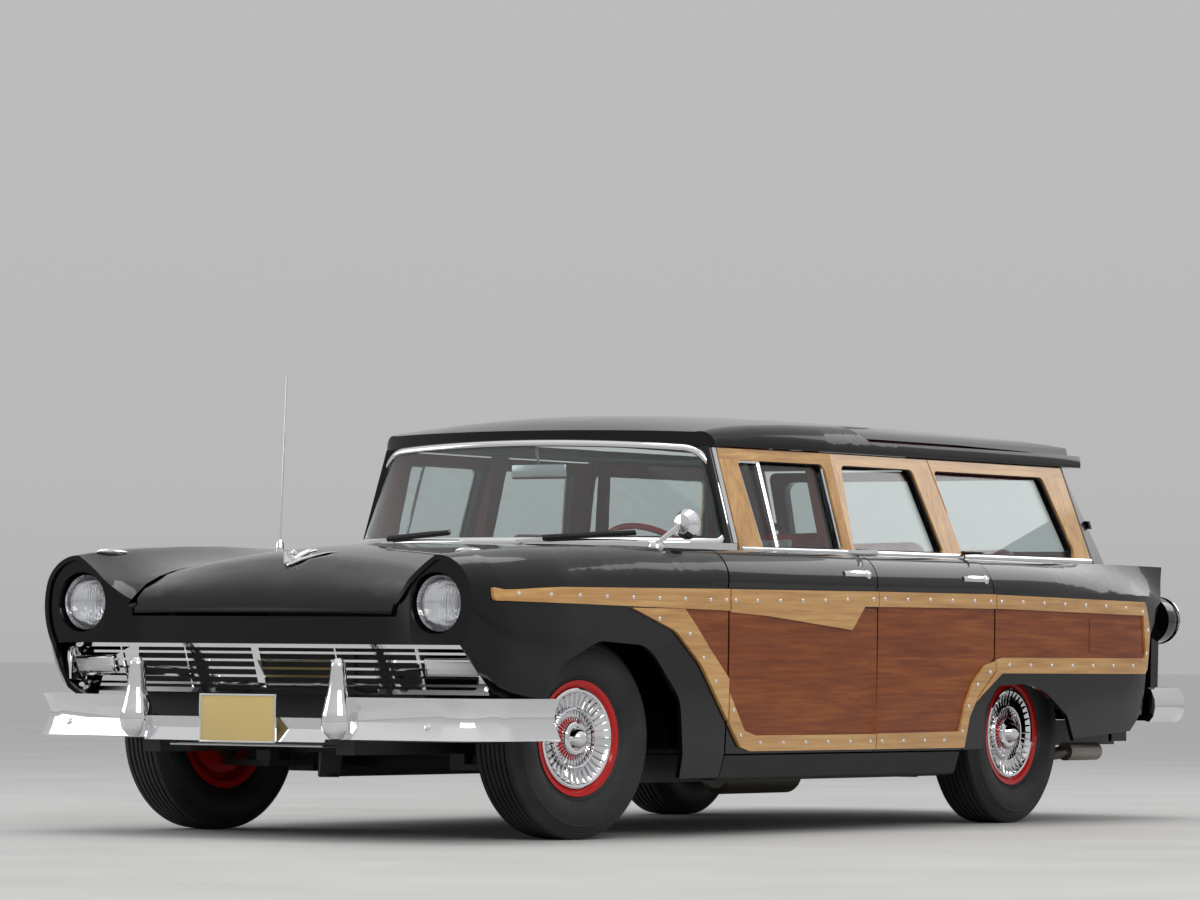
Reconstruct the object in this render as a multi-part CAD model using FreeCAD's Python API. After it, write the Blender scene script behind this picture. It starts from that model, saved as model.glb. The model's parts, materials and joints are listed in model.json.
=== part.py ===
# Wood-trimmed station wagon of the late 1950s: full-size, four doors, liftgate and tailgate.
# Millimetres. +X is the car's left, -Y its front, +Z up. Y values are stations, measured back
# from the front axle; the finished car is moved so that its origin lies on the ground at mid-length.
import FreeCAD, Part
import math
import os

from FreeCAD import Vector

# Overall sizes
LENGTH = 5169.0
FRONT_OVERHANG = 890.0
WHEELBASE = 2946.4
FRONT_TRACK = 1499.0
REAR_TRACK = 1433.0
FRAME_SHIFT = FRONT_OVERHANG - LENGTH / 2

# Clearances
PANEL_GAP = 6.0
SEAT_GAP = 0.3

# Wheels and tyres
TYRE_RADIUS = 338.0
TYRE_WIDTH = 205.0
TREAD_WIDTH = 152.0
RIM_LIP_RADIUS = 194.5
RIM_SEAT_RADIUS = 178.0
RIM_WIDTH = 152.0
HUB_BORE = 30.0
SPINDLE_RADIUS = 29.95
KINGPIN_X = 662.0
PARKED_STEER = -9.5

# Body side: half width at each height
SIDE_X = 957.0
SILL_X = 925.0
DOOR_LOW_X = 947.0
BELT_X = 857.0
DRIP_X = 753.0
SILL_BOTTOM = 192.0
ROCKER_TOP = 276.0
DOOR_BOTTOM = ROCKER_TOP + PANEL_GAP
RAIL_TOP = 855.0
BELT_Z = 985.0
DRIP_Z = 1352.0
ROOF_TOP = 1491.0
DOOR_TRIM_X = 868.0
DOOR_TRIM_TOP = 760.0
DOOR_BELT_INNER_X = 812.0
COWL_X = 804.0
FRAME_DEPTH = 42.0
WOOD_DEPTH = 11.0
SKIN = 16.0

# Stations of the shut lines
DOOR_FRONT = 690.0
PILLAR_FRONT = 1010.0
DOOR_SPLIT = 1679.0
DOOR_REAR = 2521.0
PILLAR_DRIP_X = 698.0
PILLAR_BELT_X = 805.0
HINGE_X = 973.0
HINGE_SETBACK = 25.0

# Windshield: half ellipses at its base and its top, set against the front pillars
GLASS_BELT_LAP = 10.0
GLASS_DRIP_REACH = 5.0
GLASS_BASE = {"half": PILLAR_BELT_X - GLASS_BELT_LAP, "depth": 430.0, "centre": 1030.0, "z": 1000.0}
GLASS_TOP = {"half": PILLAR_DRIP_X + GLASS_DRIP_REACH, "depth": 150.0, "centre": 1030.0, "z": 1362.0}
GLASS = 6.0
WOOD_RAIL = 53.0


# Drawing helpers

def vec(plane, u, v, w):
    """A point at (u, v) on a plane named by its two axes, w along the third."""
    if plane == "xy":
        return Vector(u, v, w)
    if plane == "xz":
        return Vector(u, w, v)
    return Vector(w, u, v)


def outline(plane, points, w=0.0):
    """Closed face from (u, v) corners; a third number rounds that corner."""
    count = len(points)
    edges = []
    starts = []
    ends = []
    for i in range(count):
        p = points[i]
        here = Vector(p[0], p[1], 0)
        radius = p[2] if len(p) > 2 else 0.0
        if radius == 0.0:
            starts.append(here)
            ends.append(here)
            continue
        before = Vector(points[i - 1][0], points[i - 1][1], 0)
        after = Vector(points[(i + 1) % count][0], points[(i + 1) % count][1], 0)
        back = (before - here).normalize()
        on = (after - here).normalize()
        half = back.getAngle(on) / 2
        reach = radius / math.tan(half)
        first = here + back * reach
        last = here + on * reach
        middle = here + (back + on).normalize() * (radius / math.sin(half) - radius)
        starts.append(first)
        ends.append(last)
        arc = Part.Arc(vec(plane, first.x, first.y, w), vec(plane, middle.x, middle.y, w),
                       vec(plane, last.x, last.y, w))
        edges.append((i, arc.toShape()))
    arcs = dict(edges)
    chain = []
    for i in range(count):
        if i in arcs:
            chain.append(arcs[i])
        a = ends[i]
        b = starts[(i + 1) % count]
        if a.distanceToPoint(b) > 1e-6:
            chain.append(Part.makeLine(vec(plane, a.x, a.y, w), vec(plane, b.x, b.y, w)))
    return Part.Face(Part.Wire(chain))


def prism(plane, points, w0, w1):
    """The outline drawn at w0 and drawn out to w1."""
    return outline(plane, points, w0).extrude(vec(plane, 0, 0, w1 - w0))


def block(x0, x1, y0, y1, z0, z1):
    return Part.makeBox(x1 - x0, y1 - y0, z1 - z0, Vector(x0, y0, z0))


def rod(start, end, radius):
    """Round bar between two points."""
    a = Vector(*start)
    b = Vector(*end)
    return Part.makeCylinder(radius, a.distanceToPoint(b), a, b - a)


def turned(profile, centre, axis, turn=360.0):
    """Solid of revolution; profile is (radius, height) corners, height along the axis."""
    points = [Vector(r, 0, h) for r, h in profile]
    face = Part.Face(Part.makePolygon(points + points[:1]))
    solid = face.revolve(Vector(0, 0, 0), Vector(0, 0, 1), turn)
    solid.Placement = FreeCAD.Placement(Vector(*centre), FreeCAD.Rotation(Vector(0, 0, 1), Vector(*axis)))
    return solid


def fuse(shapes):
    solids = [solid for shape in shapes for solid in shape.Solids]
    joined = solids[0].multiFuse(solids[1:]) if len(solids) > 1 else solids[0]
    return joined.removeSplitter()


def group(shapes):
    return Part.makeCompound(shapes)


def mirror(shape):
    return shape.mirror(Vector(0, 0, 0), Vector(1, 0, 0))


def pair(shape):
    return group([shape, mirror(shape)])


def bar(path, half_width, half_height):
    """Square bar through a list of points, each stretch a box with its ends overlapping."""
    pieces = []
    for a, b in zip(path, path[1:]):
        a = Vector(*a)
        b = Vector(*b)
        along = b - a
        solid = Part.makeBox(2 * half_width, 2 * half_height, along.Length + half_width,
                             Vector(-half_width, -half_height, -half_width / 2))
        side = Vector(0, 0, 1).cross(along)
        side = side.normalize() if side.Length > 1e-6 else Vector(1, 0, 0)
        up = along.cross(side).normalize()
        place = FreeCAD.Matrix(side.x, up.x, along.x / along.Length, a.x,
                               side.y, up.y, along.y / along.Length, a.y,
                               side.z, up.z, along.z / along.Length, a.z, 0, 0, 0, 1)
        solid.Placement = FreeCAD.Placement(place)
        pieces.append(solid)
    return fuse(pieces)


# Panels: a path of lines and arcs across the car, given a thickness and lofted along it

def offset_path(path, depth):
    """Path moved sideways by depth, to the left of its own direction."""
    def unit(a, b):
        return (b - a).normalize()

    def arc_tangents(a, m, b):
        curve = Part.Arc(Vector(a.x, a.y, 0), Vector(m.x, m.y, 0), Vector(b.x, b.y, 0))
        first = curve.tangent(curve.FirstParameter)[0]
        middle = curve.tangent((curve.FirstParameter + curve.LastParameter) / 2)[0]
        last = curve.tangent(curve.LastParameter)[0]
        if first.dot(m - a) < 0:
            first, middle, last = first * -1, middle * -1, last * -1
        return first, middle, last

    knots = [Vector(path[0][0], path[0][1], 0)]
    spans = []
    for item in path[1:]:
        if isinstance(item[0], tuple):
            m = Vector(item[0][0], item[0][1], 0)
            b = Vector(item[1][0], item[1][1], 0)
            spans.append((m,) + arc_tangents(knots[-1], m, b))
        else:
            b = Vector(item[0], item[1], 0)
            t = unit(knots[-1], b)
            spans.append((None, t, t, t))
        knots.append(b)

    def left(t):
        return Vector(-t.y, t.x, 0)

    moved = []
    for i, knot in enumerate(knots):
        if i == 0:
            n = left(spans[0][1])
            moved.append(knot + n * depth)
        elif i == len(spans):
            n = left(spans[-1][3])
            moved.append(knot + n * depth)
        else:
            n0 = left(spans[i - 1][3])
            n1 = left(spans[i][1])
            n = (n0 + n1).normalize()
            moved.append(knot + n * (depth / max(n.dot(n0), 0.5)))
    out = [(moved[0].x, moved[0].y)]
    for (m, t0, tm, t1), b in zip(spans, moved[1:]):
        if m is None:
            out.append((b.x, b.y))
        else:
            centre = m + left(tm) * depth
            out.append(((centre.x, centre.y), (b.x, b.y)))
    return out


def path_edges(path, y):
    edges = []
    a = Vector(path[0][0], y, path[0][1])
    for item in path[1:]:
        if isinstance(item[0], tuple):
            m = Vector(item[0][0], y, item[0][1])
            b = Vector(item[1][0], y, item[1][1])
            edges.append(Part.Arc(a, m, b).toShape())
        else:
            b = Vector(item[0], y, item[1])
            edges.append(Part.makeLine(a, b))
        a = b
    return edges, a


def reverse_path(path):
    ends = [path[0]]
    middles = []
    for item in path[1:]:
        if isinstance(item[0], tuple):
            middles.append(item[0])
            ends.append(item[1])
        else:
            middles.append(None)
            ends.append(item)
    out = [ends[-1]]
    for middle, end in zip(reversed(middles), reversed(ends[:-1])):
        out.append(end if middle is None else (middle, end))
    return out


def skin_wire(path, depth, y, start=0.0):
    """Closed wire between the path moved by start and by start + depth."""
    outer = offset_path(path, start) if start else path
    inner = reverse_path(offset_path(path, start + depth))
    first, outer_end = path_edges(outer, y)
    second, inner_end = path_edges(inner, y)
    joins = [Part.makeLine(outer_end, Vector(inner[0][0], y, inner[0][1])),
             Part.makeLine(inner_end, Vector(outer[0][0], y, outer[0][1]))]
    return Part.Wire(first + joins[:1] + second + joins[1:])


def skin_loft(stations, depth, start=0.0):
    """Panel through (station, path) pairs, with one wall thickness."""
    wires = [skin_wire(path, depth, y, start) for y, path in stations]
    return Part.makeLoft(wires, True, True)


def eased_column(stations, values, wanted):
    """Values at the wanted stations on a smooth curve that never overshoots its rows."""
    steps = [(b - a) / (y1 - y0) for a, b, y0, y1 in zip(values, values[1:], stations, stations[1:])]
    slopes = [steps[0]]
    for a, b in zip(steps, steps[1:]):
        slopes.append(2 * a * b / (a + b) if a * b > 0 else 0.0)
    slopes.append(steps[-1])
    out = []
    for y in wanted:
        i = max(k for k in range(len(steps)) if stations[k] <= y)
        span = stations[i + 1] - stations[i]
        t = (y - stations[i]) / span
        rise = values[i + 1] - values[i]
        cubic = t * t * (3 - 2 * t) * rise
        cubic += t * (1 - t) * ((1 - t) * slopes[i] - t * slopes[i + 1]) * span
        out.append(values[i] + cubic)
    return out


def eased_rows(rows, parts):
    """Rows of a table with parts - 1 more between each two; a row is a station and numbers or pairs."""
    stations = [row[0] for row in rows]
    wanted = [a + (b - a) * k / parts for a, b in zip(stations, stations[1:]) for k in range(parts)]
    wanted.append(stations[-1])
    out = [[y] for y in wanted]
    for place in range(1, len(rows[0])):
        cells = [row[place] for row in rows]
        if isinstance(cells[0], tuple):
            columns = [eased_column(stations, [cell[k] for cell in cells], wanted) for k in range(2)]
            values = list(zip(*columns))
        else:
            values = eased_column(stations, cells, wanted)
        for row, value in zip(out, values):
            row.append(value)
    return [tuple(row) for row in out]


def sliced(shape, stations):
    """The lengths of a member between stations, as separate pieces that meet."""
    pieces = []
    for low, high in zip([-2000.0] + stations, stations + [6000.0]):
        pieces += shape.common(block(-1200, 1200, low, high, 0, 1600)).Solids
    return pieces


def layered(shape, heights):
    """The layers of a member between heights, as separate pieces that meet."""
    pieces = []
    for low, high in zip([0.0] + heights, heights + [1600.0]):
        pieces += shape.common(block(-1200, 1200, -2000, 6000, low, high)).Solids
    return pieces


# The body side, as a path from the sill up to the belt; the left hand of the path is inboard

def side_path(z_low=DOOR_BOTTOM):
    start = [(SILL_X, SILL_BOTTOM + 8), (DOOR_LOW_X, z_low)] if z_low < DOOR_BOTTOM else [(DOOR_LOW_X, z_low)]
    return start + [((SIDE_X, 570.0), (SIDE_X, RAIL_TOP)), ((936.0, 946.0), (BELT_X, BELT_Z))]


def drip_x(y):
    """Half width of the window frames' top edge, which narrows towards the windshield."""
    share = min(max((y - PILLAR_FRONT) / (DOOR_SPLIT - PILLAR_FRONT), 0.0), 1.0)
    return PILLAR_DRIP_X + share * (DRIP_X - PILLAR_DRIP_X)


def belt_x(y):
    share = min(max((y - PILLAR_FRONT) / (DOOR_SPLIT - PILLAR_FRONT), 0.0), 1.0)
    return PILLAR_BELT_X + share * (BELT_X - PILLAR_BELT_X)


def frame_slab(y0, y1, outer, inner, z0=BELT_Z, z1=DRIP_Z):
    """Leaning slab of the window frames between two depths behind their outer face."""
    wires = []
    for y in (y0, y1):
        lean = (belt_x(y) - drip_x(y)) / (DRIP_Z - BELT_Z)
        corners = []
        for depth, z in ((outer, z0), (outer, z1), (inner, z1), (inner, z0)):
            corners.append(Vector(belt_x(y) - lean * (z - BELT_Z) - depth, y, z))
        wires.append(Part.makePolygon(corners + corners[:1]))
    return Part.makeLoft(wires, True, True)


def shrink(points, gap):
    """The same outline with straight sides moved inward by gap; corners keep their radii."""
    count = len(points)
    area = sum(points[i - 1][0] * points[i][1] - points[i][0] * points[i - 1][1] for i in range(count))
    turn = 1.0 if area > 0 else -1.0
    out = []
    for i in range(count):
        a = Vector(points[i - 1][0], points[i - 1][1], 0)
        b = Vector(points[i][0], points[i][1], 0)
        c = Vector(points[(i + 1) % count][0], points[(i + 1) % count][1], 0)
        t0 = (b - a).normalize()
        t1 = (c - b).normalize()
        n0 = Vector(-t0.y, t0.x, 0) * turn
        n1 = Vector(-t1.y, t1.x, 0) * turn
        n = (n0 + n1).normalize()
        moved = b + n * (gap / max(n.dot(n0), 0.3))
        radius = points[i][2] if len(points[i]) > 2 else 0.0
        out.append((moved.x, moved.y, max(radius - gap, 0.0)) if radius else (moved.x, moved.y))
    return out


# Window openings in the side view: (station, height, corner radius)
WINDOWS = {
    "front": [(1142, 1000, 12), (1630, 1000, 14), (1630, 1306, 34), (1112, 1306, 26)],
    "rear": [(1700, 1000, 14), (2336, 1000, 14), (2243, 1306, 30), (1742, 1306, 30)],
    "quarter": [(2466, 1000, 14), (3338, 1000, 30), (3215, 1306, 34), (2392, 1306, 24)],
}

# Rear shut lines of the doors: (height, station), swung about the door's own hinge axis
SHUT_BEND = RAIL_TOP - 8
SHUT_FRONT_DOOR = [(150, DOOR_SPLIT), (SHUT_BEND, DOOR_SPLIT), (BELT_Z + 8, DOOR_SPLIT), (1420, DOOR_SPLIT)]
SHUT_REAR_DOOR = [(150, 2296), (DOOR_BOTTOM - 8, 2306), (400, 2340), (480, 2400), (570, DOOR_REAR),
                  (SHUT_BEND, DOOR_REAR), (BELT_Z + 8, 2470), (DRIP_Z + 8, 2363), (1420, 2347)]


def side_x(z):
    """Half width of the body side and window frames at a height, near enough for shut lines."""
    if z <= DOOR_BOTTOM:
        return DOOR_LOW_X
    if z <= RAIL_TOP:
        return SIDE_X - (SIDE_X - DOOR_LOW_X) * ((RAIL_TOP - z) / (RAIL_TOP - DOOR_BOTTOM)) ** 2
    if z <= BELT_Z:
        return SIDE_X - (SIDE_X - BELT_X) * (z - RAIL_TOP) / (BELT_Z - RAIL_TOP)
    return BELT_X - (BELT_X - DRIP_X) * (z - BELT_Z) / (DRIP_Z - BELT_Z)


def shut_drum(line, hinge_y, offset):
    """Solid of revolution about a door hinge whose wall is the door's rear shut line."""
    reach = []
    for z, y in line:
        reach.append(Vector(math.hypot(side_x(z) - HINGE_X, y - hinge_y), z, 0))
    moved = []
    for i, p in enumerate(reach):
        t0 = (p - reach[i - 1]).normalize() if i else (reach[1] - p).normalize()
        t1 = (reach[i + 1] - p).normalize() if i + 1 < len(reach) else t0
        n0 = Vector(t0.y, -t0.x, 0)
        n1 = Vector(t1.y, -t1.x, 0)
        n = (n0 + n1).normalize()
        moved.append(p + n * (offset / max(n.dot(n0), 0.5)))
    profile = [(0.0, moved[0].y)] + [(p.x, p.y) for p in moved] + [(0.0, moved[-1].y)]
    return turned(profile, (HINGE_X, hinge_y, 0), (0, 0, 1))


def door_section():
    """Closed section of a door below the belt, from the outer skin to the trim panel."""
    edges, end = path_edges(side_path(), 0.0)
    corners = [end, Vector(DOOR_BELT_INNER_X, 0, BELT_Z), Vector(DOOR_TRIM_X, 0, DOOR_TRIM_TOP),
               Vector(DOOR_TRIM_X, 0, DOOR_BOTTOM), Vector(DOOR_LOW_X, 0, DOOR_BOTTOM)]
    edges += [Part.makeLine(a, b) for a, b in zip(corners, corners[1:])]
    return Part.Face(Part.Wire(edges))


def make_door(first, frame_first, last, window, cutter, front_cutter=None):
    """Left door: panel with its window frame, its glass and the wood on its outside."""
    section = door_section()
    section.translate(Vector(0, first, 0))
    lower = section.extrude(Vector(0, last - first, 0))
    frame = frame_slab(frame_first, last, WOOD_DEPTH, FRAME_DEPTH, BELT_Z, DRIP_Z - PANEL_GAP)
    opening = prism("yz", window, 500, 1000)
    door = group([lower, frame.cut(opening)]).common(cutter)
    glass = frame_slab(frame_first, last, 24.0, 24.0 + GLASS, BELT_Z + 2, DRIP_Z - 20)
    glass = glass.common(prism("yz", shrink(window, SEAT_GAP), 500, 1000))
    cover = frame_slab(frame_first, last, 0.0, WOOD_DEPTH, BELT_Z + SEAT_GAP, DRIP_Z - PANEL_GAP)
    cover = cover.cut(opening).common(cutter)
    if front_cutter is not None:
        door = door.cut(front_cutter)
        cover = cover.cut(front_cutter)
    return group(layered(door, [DOOR_TRIM_TOP, SHUT_BEND + SEAT_GAP])), glass, cover


def wood_layer(y0, y1):
    """Strip of wood thickness over the body side between two stations."""
    path = side_path()[:2]
    return skin_loft([(y0, path), (y1, path)], -WOOD_DEPTH + SEAT_GAP, -SEAT_GAP)


# Outlines of the wood frames on the body side, in (station, height)
ARCH_RAIL_OUTER = [(2318, 300), (2350, 396), (2398, 474), (2470, 530), (2560, 556)]
ARCH_RAIL_INNER = [(2560, 614), (2440, 592), (2352, 527), (2298, 440), (2268, 350)]


# Lower body

FENDER_STATIONS = [
    # station, sill, low, side arc mid and rail, shoulder arc mid and crown, valley arc mid and hood seam
    (-745, (850, 640), (862, 662), (882, 740), (872, 850), (825, 912), (738, 939), (631, 859), (541, 760)),
    (-620, (880, 492), (903, 512), (928, 650), (918, 825), (878, 908), (745, 951), (657, 884), (546, 845)),
    (-460, (908, 440), (926, 470), (946, 615), (940, 833), (900, 922), (760, 961), (664, 912), (559, 890)),
    (-300, (930, 400), (943, 440), (956, 590), (954, 840), (914, 932), (775, 969), (676, 928), (572, 911)),
    (150, (925, 200), (947, 282), (957, 570), (957, 853), (926, 945), (812, 986), (716, 957), (616, 941)),
    (547, (925, 200), (947, 282), (957, 570), (957, 855), (933, 946), (845, 985), (757, 972), (667, 962)),
    (615, (925, 200), (947, 282), (957, 570), (957, 855), (935, 946), (851, 985), (795, 980), (737, 974)),
    (684, (925, 200), (947, 282), (957, 570), (957, 855), (936, 946), (857, 985), (830, 987), (COWL_X + SEAT_GAP, 986)),
]
FRONT_ARCH = [(-455, 100), (-440, 400, 60), (-330, 585, 130), (-110, 664, 200), (190, 650, 200),
              (395, 470, 130), (452, 100)]
REAR_ARCH = [(2455, 100), (2470, 430, 60), (2560, 516, 60), (2780, 524, 120), (2920, 492, 120),
             (3090, 404, 60), (3158, 300, 40), (3165, 100)]


def fender_path(row):
    _, sill, low, mid, rail, shoulder, crown, valley, seam = row
    return [sill, low, (mid, rail), (shoulder, crown), (valley, seam)]


def make_front_fender():
    rows = eased_rows(FENDER_STATIONS[:6], 2) + FENDER_STATIONS[6:]
    skin = skin_loft([(row[0], fender_path(row)) for row in rows], SKIN)
    front_slant = prism("xy", [(640, -750), (500, -750), (500, -682)], 600, 1000)
    skin = skin.cut(prism("yz", FRONT_ARCH, 600, 1100)).cut(front_slant)
    wood = skin_loft([(row[0], fender_path(row)[:3]) for row in rows], -WOOD_DEPTH + SEAT_GAP, -SEAT_GAP)
    rail = prism("yz", [(-668, 791, 8), (684, 773), (684, 847), (-668, 837, 14)], 700, 1100)
    sweep = prism("yz", [(74, 776), (344, 700, 120), (505, 588, 160), (671, 410), (684, 396), (684, 540),
                         (560, 640, 160), (470, 720, 120), (399, 776)], 700, 1100)
    return skin, wood.common(rail.fuse(sweep))


HOOD_STATIONS = [
    # station, edge half width, edge height, crown height, thickness
    (-740, 532, 746, 752, 6),
    (-700, 533, 754, 766, 9),
    (-684, 534, 794, 807, 20),
    (-640, 537, 828, 856, 22),
    (-446, 552, 892, 952, 22),
    (0, 592, 932, 992, 22),
    (540, 655, 962, 1004, 22),
]
HOOD_LIP = [(-700, -681), (0, -730), (700, -681)]


def arched(y, half, edge, crown, depth):
    """Closed section of an arched panel across the car."""
    top = Part.Arc(Vector(half, y, edge), Vector(0, y, crown), Vector(-half, y, edge)).toShape()
    under = [Vector(x, y, z - depth) for x, z in ((-half, edge), (0, crown), (half, edge))]
    low = Part.Arc(*under).toShape()
    sides = [Part.makeLine(Vector(s * half, y, edge), Vector(s * half, y, edge - depth)) for s in (1, -1)]
    return Part.Wire([top, sides[1], low, sides[0]])


def make_hood():
    """Arched hood with a creased front edge and a lip that is curved in plan."""
    rows = HOOD_STATIONS[:3] + eased_rows(HOOD_STATIONS[3:], 3)
    panel = Part.makeLoft([arched(*row) for row in rows], True, True)
    return panel.common(plan_arc(HOOD_LIP, 2000, 600, 1100))


def ellipse_band(size, z0, z1, outer, inner, rear):
    """Half-elliptical band standing on a plan curve, from z0 to z1, ending at the rear station."""
    def disc(grow):
        ring = Part.Ellipse(Vector(0, 0, 0), size["half"] + grow, size["depth"] + grow).toShape()
        face = Part.Face(Part.Wire([ring]))
        face.translate(Vector(0, size["centre"], z0))
        return face.extrude(Vector(0, 0, z1 - z0))
    return disc(outer).cut(disc(inner)).common(block(-1000, 1000, 0, rear, z0 - 1, z1 + 1))


def glass_wire(size, z, inset):
    """Closed plan wire of the windshield at height z."""
    half = size["half"]
    depth = size["depth"]
    centre = Vector(0, size["centre"], z)

    def arc(grow):
        a = half + grow
        b = depth + grow
        curve = Part.Ellipse(centre, a, b)
        return Part.ArcOfEllipse(curve, math.pi, 2 * math.pi).toShape()
    outer = arc(-inset)
    inner = arc(-inset - GLASS)
    o = [Vector(s * (half - inset), centre.y, z) for s in (-1, 1)]
    n = [Vector(s * (half - inset - GLASS), centre.y, z) for s in (-1, 1)]
    return Part.Wire([outer, Part.makeLine(o[1], n[1]), inner, Part.makeLine(n[0], o[0])])


def make_windshield():
    low = GLASS_BASE
    high = GLASS_TOP
    glass = Part.makeLoft([glass_wire(low, low["z"] + 6, 12), glass_wire(high, 1385, 12)], True, True)
    arch = header_arch(0.0)
    return glass.common(arch).common(block(-900, 900, 400, 992, 900, 1500))


def header_arch(rise):
    """Space below the arched edge of the roof above the windshield."""
    z = DRIP_Z + rise
    top = Part.Arc(Vector(-720, 400, z - 6), Vector(0, 400, z + 24), Vector(720, 400, z - 6)).toShape()
    sides = [Vector(720, 400, z - 6), Vector(720, 400, 900), Vector(-720, 400, 900), Vector(-720, 400, z - 6)]
    low = Part.makePolygon([Vector(830, 400, 900), Vector(-830, 400, 900)])
    edges = [top, Part.makeLine(sides[0], Vector(830, 400, 900)), low.Edges[0],
             Part.makeLine(Vector(-830, 400, 900), sides[3])]
    return Part.Face(Part.Wire(edges)).extrude(Vector(0, 800, 0))


ROOF_STATIONS = [
    # station, drip half width, shoulder inset and height, crown height
    (860, 702, 60, 1376, 1404),
    (1010, 706, 62, 1412, 1450),
    (1250, 725, 64, 1436, 1476),
    (1650, 757, 66, 1449, ROOF_TOP - 2),
    (2150, 760, 66, 1452, ROOF_TOP),
    (2700, 760, 66, 1451, ROOF_TOP - 3),
    (3200, 759, 66, 1444, ROOF_TOP - 12),
    (3600, 757, 66, 1426, ROOF_TOP - 34),
]


def roof_section(y, half, inset, shoulder, crown, shell):
    """Closed section of the roof; shell shrinks it for the space below."""
    w = half - shell
    zs = shoulder - shell
    zc = crown - shell
    z0 = DRIP_Z - (1.0 if shell else 0.0)
    right = Part.Arc(Vector(w, y, z0), Vector(w - 0.16 * inset, y, z0 + 0.62 * (zs - z0)), Vector(w - inset, y, zs))
    middle = Vector(-w + 0.16 * inset, y, z0 + 0.62 * (zs - z0))
    left = Part.Arc(Vector(-w + inset, y, zs), middle, Vector(-w, y, z0))
    top = Part.Arc(Vector(w - inset, y, zs), Vector(0, y, zc), Vector(-w + inset, y, zs))
    floor = Part.makeLine(Vector(-w, y, z0), Vector(w, y, z0))
    return Part.Wire([right.toShape(), top.toShape(), left.toShape(), floor])


def plan_disc(size, grow, z0, z1, rear, corner):
    """Plan of the roof: half ellipse in front, straight behind, with rounded rear corners."""
    ring = Part.Face(Part.Wire([Part.Ellipse(Vector(0, size["centre"], z0), size["half"] + 25 + grow,
                                             size["depth"] + grow).toShape()]))
    front = ring.extrude(Vector(0, 0, z1 - z0))
    body = prism("xy", [(-800 - grow, size["centre"] - 30), (800 + grow, size["centre"] - 30),
                        (800 + grow, rear + grow, corner), (-800 - grow, rear + grow, corner)], z0, z1)
    return front.fuse(body)


def make_roof():
    outer = Part.makeLoft([roof_section(*row, 0.0) for row in eased_rows(ROOF_STATIONS, 2)], True, True)
    inner = Part.makeLoft([roof_section(*row, 34.0) for row in ROOF_STATIONS], True, True)
    outer = outer.common(plan_disc(GLASS_TOP, 0.0, 1300, 1550, 3545, 90))
    inner = inner.common(plan_disc(GLASS_TOP, -38.0, 1300, 1550, 3545, 90))
    ledge_section = prism("xz", [(694, 1398), (682, 1440, 60), (640, 1475), (640, 1540), (850, 1540), (850, 1398)],
                          1700, 3700)
    ledge = ledge_section.common(prism("yz", [(1800, 1480), (1955, 1398), (3700, 1398), (3700, 1560),
                                              (1800, 1560)], 600, 900))
    shell = outer.cut(inner)
    return shell.cut(ledge).cut(mirror(ledge)).cut(header_arch(1.0).common(block(-900, 900, 400, 985, 800, 1500)))


def make_quarter():
    """Left rear quarter: lower side, fin and the frame round its window."""
    stations = [
        # station, low, side arc mid and rail, shoulder arc mid and crown, inner edge
        (2280, (947, 282), (957, 570), (957, 855), (936, 946), (857, 985), (800, 985)),
        (2760, (947, 290), (957, 570), (957, 857), (936, 942), (860, 984), (800, 984)),
        (3240, (946, 300), (957, 570), (957, 859), (930, 926), (868, 982), (800, 982)),
        (3640, (940, 330), (955, 570), (954, 862), (922, 905), (878, 980), (800, 980)),
        (3960, (885, 420), (905, 600), (912, 840), (902, 888), (884, 977), (806, 974)),
    ]
    rows = [(y, [low, (mid, rail), (shoulder, crown), inner])
            for y, low, mid, rail, shoulder, crown, inner in eased_rows(stations, 2)]
    skin = skin_loft(rows, SKIN)
    wood = skin_loft([(y, path[:2]) for y, path in rows], -WOOD_DEPTH + SEAT_GAP, -SEAT_GAP)
    door_void = shut_drum(SHUT_REAR_DOOR, DOOR_SPLIT + HINGE_SETBACK, PANEL_GAP / 2)
    tail_slant = prism("yz", [(3690, 200), (3702, 420), (3745, 700), (3905, 880), (3966, 990), (4200, 990),
                              (4200, 200)], 500, 1100)
    low_slant = prism("yz", [(3000, 100), (3158, 318), (3600, 343), (3680, 405), (3720, 405), (3720, 100)],
                      500, 1100)
    skin = skin.cut(prism("yz", REAR_ARCH, 600, 1100)).cut(door_void).cut(tail_slant).cut(low_slant)
    frame = frame_slab(2300, 3460, WOOD_DEPTH, FRAME_DEPTH, BELT_Z - 12, DRIP_Z - SEAT_GAP)
    cover = frame_slab(2300, 3460, 0.0, WOOD_DEPTH - SEAT_GAP, BELT_Z + SEAT_GAP, DRIP_Z - PANEL_GAP)
    side = prism("yz", [(2200, 950), (3452, 950), (3366, 1400), (2200, 1400)], 500, 1100)
    opening = prism("yz", WINDOWS["quarter"], 500, 1100)
    frame = frame.common(side).cut(opening).cut(door_void)
    cover = cover.common(side).cut(opening).cut(door_void)
    glass = frame_slab(2300, 3460, 24.0, 24.0 + GLASS, BELT_Z, DRIP_Z - 20)
    glass = glass.common(prism("yz", shrink(WINDOWS["quarter"], SEAT_GAP), 500, 1000))
    rail = prism("yz", [(2400, 802), (3665, 786), (3690, 640), (3680, 622), (2567, 620), (2445, 597),
                        (2300, 500), (2300, 400), (2420, 480), (2570, 562), (3690, 562), (3712, 580),
                        (3733, 726), (3690, 838, 30), (2400, 853)], 800, 1100)
    wood = wood.common(rail).cut(door_void)
    return skin, frame, cover, glass, wood


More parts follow.
